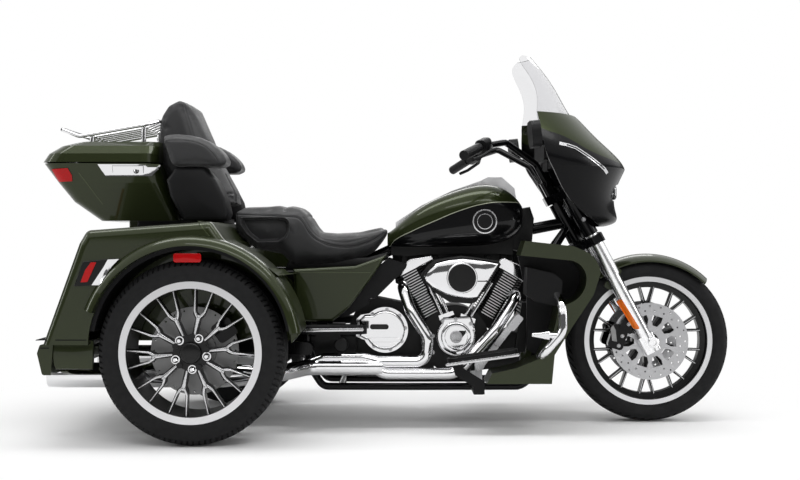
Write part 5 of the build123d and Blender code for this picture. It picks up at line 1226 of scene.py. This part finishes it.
pipe(mesh, smooth_route([(0.254, 0.0, 0.540), (0.254, -0.06, 0.556), (0.254, -0.152, 0.565)]), 0.033, 24, 1)
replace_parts(new_piece("air_cleaner_cover", mesh, [chrome, cast_black], "chassis", 30), "air_cleaner")
# %% [markdown]
# The round covers on the engine are chrome pressings with small turned details.  Rings and a hub are turned on
# the cam cover, a dark wedge shows the recess beside the hub, and each cover is held by a row of hex bolts.
# A bolt is dropped on the surface by a ray cast from the side, so it always sits on metal.

# %% Engine covers
def spot_on(tree, x, z, side=-1):
    """The outermost point of a surface at (x, z), seen from one side."""
    return tree.ray_cast(Vector((x, side * 1.5, z)), Vector((0, -side, 0)))[0]


def bolts_on(mesh, tree, places, radius, height, side=-1, finish_index=0):
    for x, z in places:
        place = spot_on(tree, x, z, side)
        if place:
            hex_bolt(mesh, place, (0, side, 0), radius, height, finish_index)


cam_tree = node_tree("cam_cover", "crankcase")
cam_face = spot_on(cam_tree, 0.243, 0.342)
outward = (0, -1, 0)
mesh = bmesh.new()
turn(mesh, [(-0.001, 0.0565), (0.0035, 0.0555), (0.0050, 0.0525), (0.0050, 0.0445), (0.0020, 0.0430), (0.0005, 0.0425)],
     cam_face, outward, 64, 0)
plate_on(mesh, cam_tree, [(0.2545, 0.366), (0.2790, 0.366), (0.2805, 0.357), (0.2545, 0.324)], -1, 0.0012, 1)
turn(mesh, [(0.0005, 0.0240), (0.0060, 0.0235), (0.0072, 0.0215), (0.0072, 0.0190), (0.0050, 0.0180),
            (0.0056, 0.0120), (0.0058, 0)], cam_face, outward, 48, 2)
bolts_on(mesh, cam_tree, [(0.154, 0.342), (0.154, 0.2786), (0.193, 0.403), (0.2415, 0.410), (0.300, 0.392)],
         0.0060, 0.006, finish_index=2)
new_piece("cam_cover_details", mesh, [chrome, wheel_black, satin_silver], "chassis", 30)

box_cover_tree = node_tree("gearbox_cover", "crankcase", "battery_box")
mesh = bmesh.new()
plate_on(mesh, box_cover_tree, rounded_outline(-0.092, -0.013, 0.368, 0.395, 0.0125), -1, 0.0014, 0)
plate_on(mesh, box_cover_tree, rounded_outline(-0.0885, -0.0165, 0.3715, 0.3915, 0.0095), -1, 0.0020, 1)
cover_x, cover_z, rib_reach, bolt_circle = -0.030, 0.368, 0.074, 0.0775
for height in (0.300, 0.318, 0.336):
    reach = math.sqrt(max(rib_reach ** 2 - (height - cover_z) ** 2, 0))
    plate_on(mesh, box_cover_tree, rounded_outline(cover_x - reach, cover_x + reach, height, height + 0.005, 0.002),
             -1, 0.0030, 0)
rim_bolts = [(cover_x + bolt_circle * math.cos(math.radians(a)), cover_z + bolt_circle * math.sin(math.radians(a)))
             for a in (-75, -35, 5, 45, 85, 130, 235)]
bolts_on(mesh, box_cover_tree, rim_bolts + [(-0.131, 0.390), (-0.131, 0.346)], 0.0058, 0.005, finish_index=2)
new_piece("gearbox_cover_details", mesh, [chrome, wheel_black, satin_silver], "chassis", 30)
print("engine cover faces at y", round(cam_face.y, 3))

# %% [markdown]
# Between the two heads and under the tank a real engine is packed with coils, brackets and ducts.  What exactly
# sits there isn't known here, so a ribbed black carrier with two round coils and a finned cooler ahead of the
# crankcase stand for it.  Their sizes and shapes are guesses.

# %% Coil carrier and oil cooler
carrier = [(-0.006, 0.674), (0.468, 0.674), (0.482, 0.560), (0.462, 0.505), (0.412, 0.500), (0.372, 0.600),
           (0.120, 0.600), (0.075, 0.520), (0.010, 0.545)]
mesh = bmesh.new()
side_block(mesh, carrier, -0.032, 0.032, 0.005)
for x in (0.03, 0.09, 0.15, 0.36, 0.42):
    side_block(mesh, [(x, 0.612), (x + 0.022, 0.612), (x + 0.026, 0.656), (x + 0.004, 0.656)], -0.044, 0.044, 0.004)
for x in (0.452, 0.022):
    turn(mesh, [(-0.060, 0), (-0.060, 0.020), (-0.056, 0.024), (0.056, 0.024), (0.060, 0.020), (0.060, 0)],
         (x, 0, 0.590), (0, 1, 0), 32)
new_piece("coil_carrier", mesh, cast_black, "chassis", 30)
mesh = bmesh.new()
for step in range(14):
    z = 0.288 + step * 0.0132
    x = 0.474 + step * 0.0022
    side_block(mesh, [(x, z), (x + 0.036, z), (x + 0.037, z + 0.006), (x + 0.001, z + 0.006)], -0.115, 0.115, 0.001)
for y in (-0.122, 0.108):
    side_block(mesh, [(0.468, 0.280), (0.512, 0.280), (0.546, 0.474), (0.500, 0.474)], y, y + 0.014, 0.003)
side_block(mesh, [(0.484, 0.284), (0.492, 0.284), (0.522, 0.470), (0.514, 0.470)], -0.110, 0.110, 0.001)
new_piece("oil_cooler", mesh, cast_black, "chassis", 30)

# %% [markdown]
# A few plain black blocks stand for small parts that can't be made out: the pan under the saddle, the plinth
# under the luggage box, a canister by the gearbox, and what fills the places ahead of the crankcase and behind the
# steering head.  They are there so that those places look dark, as on the real one: they stand partly for those
# parts and partly for painted shade where the real one lies in shadow, and their shapes are guesses.

# %% Parts in the shadows
# These black blocks are partly stand-in parts and partly painted shade for the dark places.
mesh = bmesh.new()
side_block(mesh, [(-0.420, 0.600), (-0.400, 0.648), (-0.100, 0.648), (-0.020, 0.668), (-0.020, 0.640),
                  (-0.120, 0.598)], -0.125, 0.125, 0.008)
side_block(mesh, [(-0.990, 0.722), (-0.985, 0.800), (-0.650, 0.800), (-0.646, 0.722)], -0.150, 0.150, 0.010)
side_block(mesh, [(-0.330, 0.345), (-0.140, 0.345), (-0.140, 0.262), (-0.305, 0.262)], -0.095, 0.095, 0.010)
turn(mesh, [(0, 0.020), (0.080, 0.020), (0.082, 0.0262), (0.112, 0.0262), (0.1165, 0.022), (0.117, 0)],
     (-0.198, -0.090, 0.315), outward, 36)
side_block(mesh, [(0.300, 0.205), (0.492, 0.225), (0.502, 0.355), (0.392, 0.362), (0.372, 0.305), (0.285, 0.290)],
           -0.110, 0.110, 0.010)
side_block(mesh, [(0.425, 0.690), (0.455, 0.790), (0.490, 0.838), (0.540, 0.846), (0.556, 0.800), (0.548, 0.700),
                  (0.500, 0.668)], -0.042, 0.042, 0.010)
new_piece("shadow_parts", mesh, cast_black, "chassis", 30)

# %% [markdown]
# The upper fork tubes hide in painted covers.  Their line is taken from the legs themselves: the middle of each
# leg's upper points, carried along the steering axis.

# %% Fork covers
lean = Vector((-0.469, 0, 0.883)).normalized()
mesh = bmesh.new()
leg_points = [Vector(v.co) for v in nodes["fork_legs"].data.vertices]
for side in (1, -1):
    upper = [p for p in leg_points if side * p.y > 0 and p.z > 0.70]
    top = max(p.z for p in upper)
    ring = [p for p in upper if p.z > top - 0.06]
    flat_points = [p - lean * p.dot(lean) for p in ring]
    middle_of_leg = sum(flat_points, Vector()) / len(flat_points)
    radius = max((p - middle_of_leg).length for p in flat_points)
    start, stop = [middle_of_leg + lean * ((z - middle_of_leg.z) / lean.z) for z in (0.735, min(top, 0.985))]
    turn(mesh, [(0, radius + 0.0005), (0.002, radius + 0.006), ((stop - start).length - 0.004, radius + 0.005),
                ((stop - start).length, radius + 0.0005)], start, lean, 36, 0)
    for share in (0.30, 0.62):
        spot = start.lerp(stop, share) + Vector((0, side * (radius + 0.005), 0))
        hex_bolt(mesh, spot, (0, side, 0), 0.0060, 0.004, 1)
new_piece("fork_covers", mesh, [black_paint, satin_silver], "steering", 35)
print("fork cover radius", round(radius + 0.006, 4), "leg top", round(top, 3))

# %% [markdown]
# The bumper wraps round the corner to the wheel arch.  Its return is a small painted panel on each side.

# %% Bumper returns
bumper_low, bumper_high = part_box("rear_bumper")
print("bumper", [round(v, 3) for v in (*bumper_low, *bumper_high)])
mesh = bmesh.new()
for side in (1, -1):
    outer = side * (bumper_high.y - 0.004)
    side_block(mesh, [(-1.188, 0.366), (-1.176, 0.285), (-1.168, 0.266), (-1.040, 0.266), (-1.036, 0.366)],
               outer - side * 0.022, outer, 0.004, 0)
new_piece("bumper_returns", mesh, green_paint, "chassis", 35)

# %% [markdown]
# Footboards carry a rubber pad with raised ribs, and a bright strip closes their outer edge.

# %% Footboard pads and edges
def edge_strip(mesh, ends, edge_y, side, half, finish_index):
    (x0, z0), (x1, z1) = ends
    outline = [(x0, z0 - half), (x1, z1 - half), (x1 + 0.004, z1), (x1, z1 + half), (x0, z0 + half), (x0 - 0.004, z0)]
    side_block(mesh, outline, side * (edge_y - 0.004), side * (edge_y + 0.004), 0.0015, finish_index)


mesh = bmesh.new()
for name, ends, half in (("rider_footboards", ((0.197, 0.259), (0.460, 0.296)), 0.0055),
                         ("passenger_footboards", ((-0.348, 0.381), (-0.110, 0.384)), 0.0060)):
    low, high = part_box(name)
    edge_y = max(abs(low.y), abs(high.y))
    board_tree = node_tree(name)
    print(name, [round(v, 3) for v in (*low, *high)])
    for side in (1, -1):
        edge_strip(mesh, ends, edge_y, side, half, 1)
        (x0, _), (x1, _) = ends
        for row in range(5):
            y = side * (edge_y - 0.014 - 0.016 * row)
            route = []
            for x in np.linspace(x0 + 0.012, x1 - 0.012, 9):
                place = board_tree.ray_cast(Vector((x, y, 1.2)), Vector((0, 0, -1)))[0]
                if place:
                    route.append(place)
            if len(route) > 3:
                pipe(mesh, route, 0.0028, 8, 0)
new_piece("footboard_trim", mesh, [tyre_rubber, machined], "chassis", 40)

# %% [markdown]
# Pressed bodywork carries style lines: sharp creases that catch the light, and dark gaps where two panels meet.
# Both are laid as very thin strips over the panels, because the panels themselves must stay as they are.  The
# crease strips are a lighter green: a painted highlight along each crease.

# %% Creases and panel gaps
def strip_outline(points, half):
    """A polygon that follows a polyline at a given half width."""
    upper, lower = [], []
    for index, point in enumerate(points):
        before, after = points[max(index - 1, 0)], points[min(index + 1, len(points) - 1)]
        run = Vector((after[0] - before[0], after[1] - before[1])).normalized()
        upper.append((point[0] - run.y * half, point[1] + run.x * half))
        lower.append((point[0] + run.y * half, point[1] - run.x * half))
    return upper + lower[::-1]


# A lighter green than the body paint: the painted highlight along the creases.
crease_highlight_green = new_finish("crease_highlight_green", (0.060, 0.074, 0.034), metallic=0.5, roughness=0.3, specular=0.3, coat=0.3)
gap_black = new_finish("gap_black", (0.003, 0.003, 0.003), roughness=0.6, specular=0.1)
cover_tree = node_tree("side_covers", "rear_body", "luggage_box", "luggage_lid", "rear_bumper")
mesh = bmesh.new()
for side in (1, -1):
    for line, half in ((((-0.470, 0.655), (-0.392, 0.5916), (-0.200, 0.5916), (-0.085, 0.5916)), 0.0012),
                       (((-1.180, 0.968), (-1.150, 0.925), (-1.100, 0.850)), 0.0014),
                       (((-0.668, 0.780), (-0.650, 0.755), (-0.628, 0.728)), 0.0014)):
        plate_on(mesh, cover_tree, strip_outline(line, half), side, 0.0008, 0, cuts=4)
    for line, half in ((((-1.225, 0.371), (-1.050, 0.371)), 0.0016), (((-1.225, 0.340), (-1.050, 0.340)), 0.0016)):
        plate_on(mesh, cover_tree, strip_outline(line, half), side, 0.0006, 1, cuts=4)
new_piece("body_style_lines", mesh, [crease_highlight_green, gap_black], "chassis", 30)

# %% [markdown]
# The fairing carries a bright vent strip on each side, and the tank a plain round badge: a turned ring round a
# dark bare disc.

# %% Fairing vents and tank discs
fairing_tree = node_tree("outer_fairing")
vent_line = [(0.612, 1.070), (0.640, 1.066), (0.676, 1.056), (0.735, 1.020), (0.793, 0.981), (0.808, 0.966)]
mesh = bmesh.new()
for side in (1, -1):
    plate_on(mesh, fairing_tree, strip_outline(vent_line, 0.0060), side, 0.0026, 0)
    plate_on(mesh, fairing_tree, strip_outline(vent_line[1:-1], 0.0018), side, 0.0034, 1)
new_piece("fairing_vents", mesh, [machined, gap_black], "steering", 30)
tank_tree = node_tree("fuel_tank")
mesh = bmesh.new()
for side in (1, -1):
    for radius, rise, index in ((0.047, 0.0022, 0), (0.0425, 0.0030, 1), (0.030, 0.0036, 0), (0.0275, 0.0042, 1)):
        circle = [(0.352 + radius * math.cos(a), 0.786 + radius * math.sin(a))
                  for a in np.linspace(0, math.tau, 40, endpoint=False)]
        plate_on(mesh, tank_tree, circle, side, rise, index)
new_piece("tank_discs", mesh, [machined, moulded_black], "chassis", 30)

# %% [markdown]
# Chrome mirrors whatever stands around it.  Four dark cards round the vehicle give the upright surfaces
# something dark to show, while their tops still mirror the bright sky.  The camera never sees the cards.

# %% Dark cards
def add_card(name, corners):
    mesh = bpy.data.meshes.new(name)
    mesh.from_pydata(corners, [], [(0, 1, 2, 3)])
    card = bpy.data.objects.new(name, mesh)
    scene.collection.objects.link(card)
    mesh.materials.append(card_grey)
    card.visible_camera = False
    card.visible_diffuse = False
    card.visible_shadow = False
    card.visible_transmission = False
    card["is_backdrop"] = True


card_grey = bpy.data.materials.new("card_grey")
card_grey.use_nodes = True
card_tree = card_grey.node_tree
card_tree.nodes.clear()
card_out = card_tree.nodes.new("ShaderNodeOutputMaterial")
card_glow = card_tree.nodes.new("ShaderNodeEmission")
card_glow.inputs["Color"].default_value = (0.10, 0.10, 0.10, 1)
card_tree.links.new(card_glow.outputs[0], card_out.inputs["Surface"])
reach_x, reach_y, card_low, card_high = 7.0, 6.5, 0.72, 2.9
corners = [(reach_x, -reach_y), (reach_x, reach_y), (-reach_x, reach_y), (-reach_x, -reach_y)]
for index, name in enumerate(("front", "left", "rear", "right")):
    (x0, y0), (x1, y1) = corners[index], corners[(index + 1) % 4]
    add_card(f"card_{name}", [(x0, y0, card_low), (x1, y1, card_low), (x1, y1, card_high), (x0, y0, card_high)])
print("cards stand", reach_y, "m off at the sides and", reach_x, "m off at the ends")

# %% [markdown]
# Dressing must not change the vehicle's size, so the box around the bare model and the box around the dressed
# one are written side by side.

# %% Compare the sizes and finish
def corners(box):
    return [list(corner) for corner in box]


dressed_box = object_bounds()
{"cad": corners(cad_box), "visual": corners(dressed_box)}
print("bare", corners(cad_box), "dressed", corners(dressed_box))
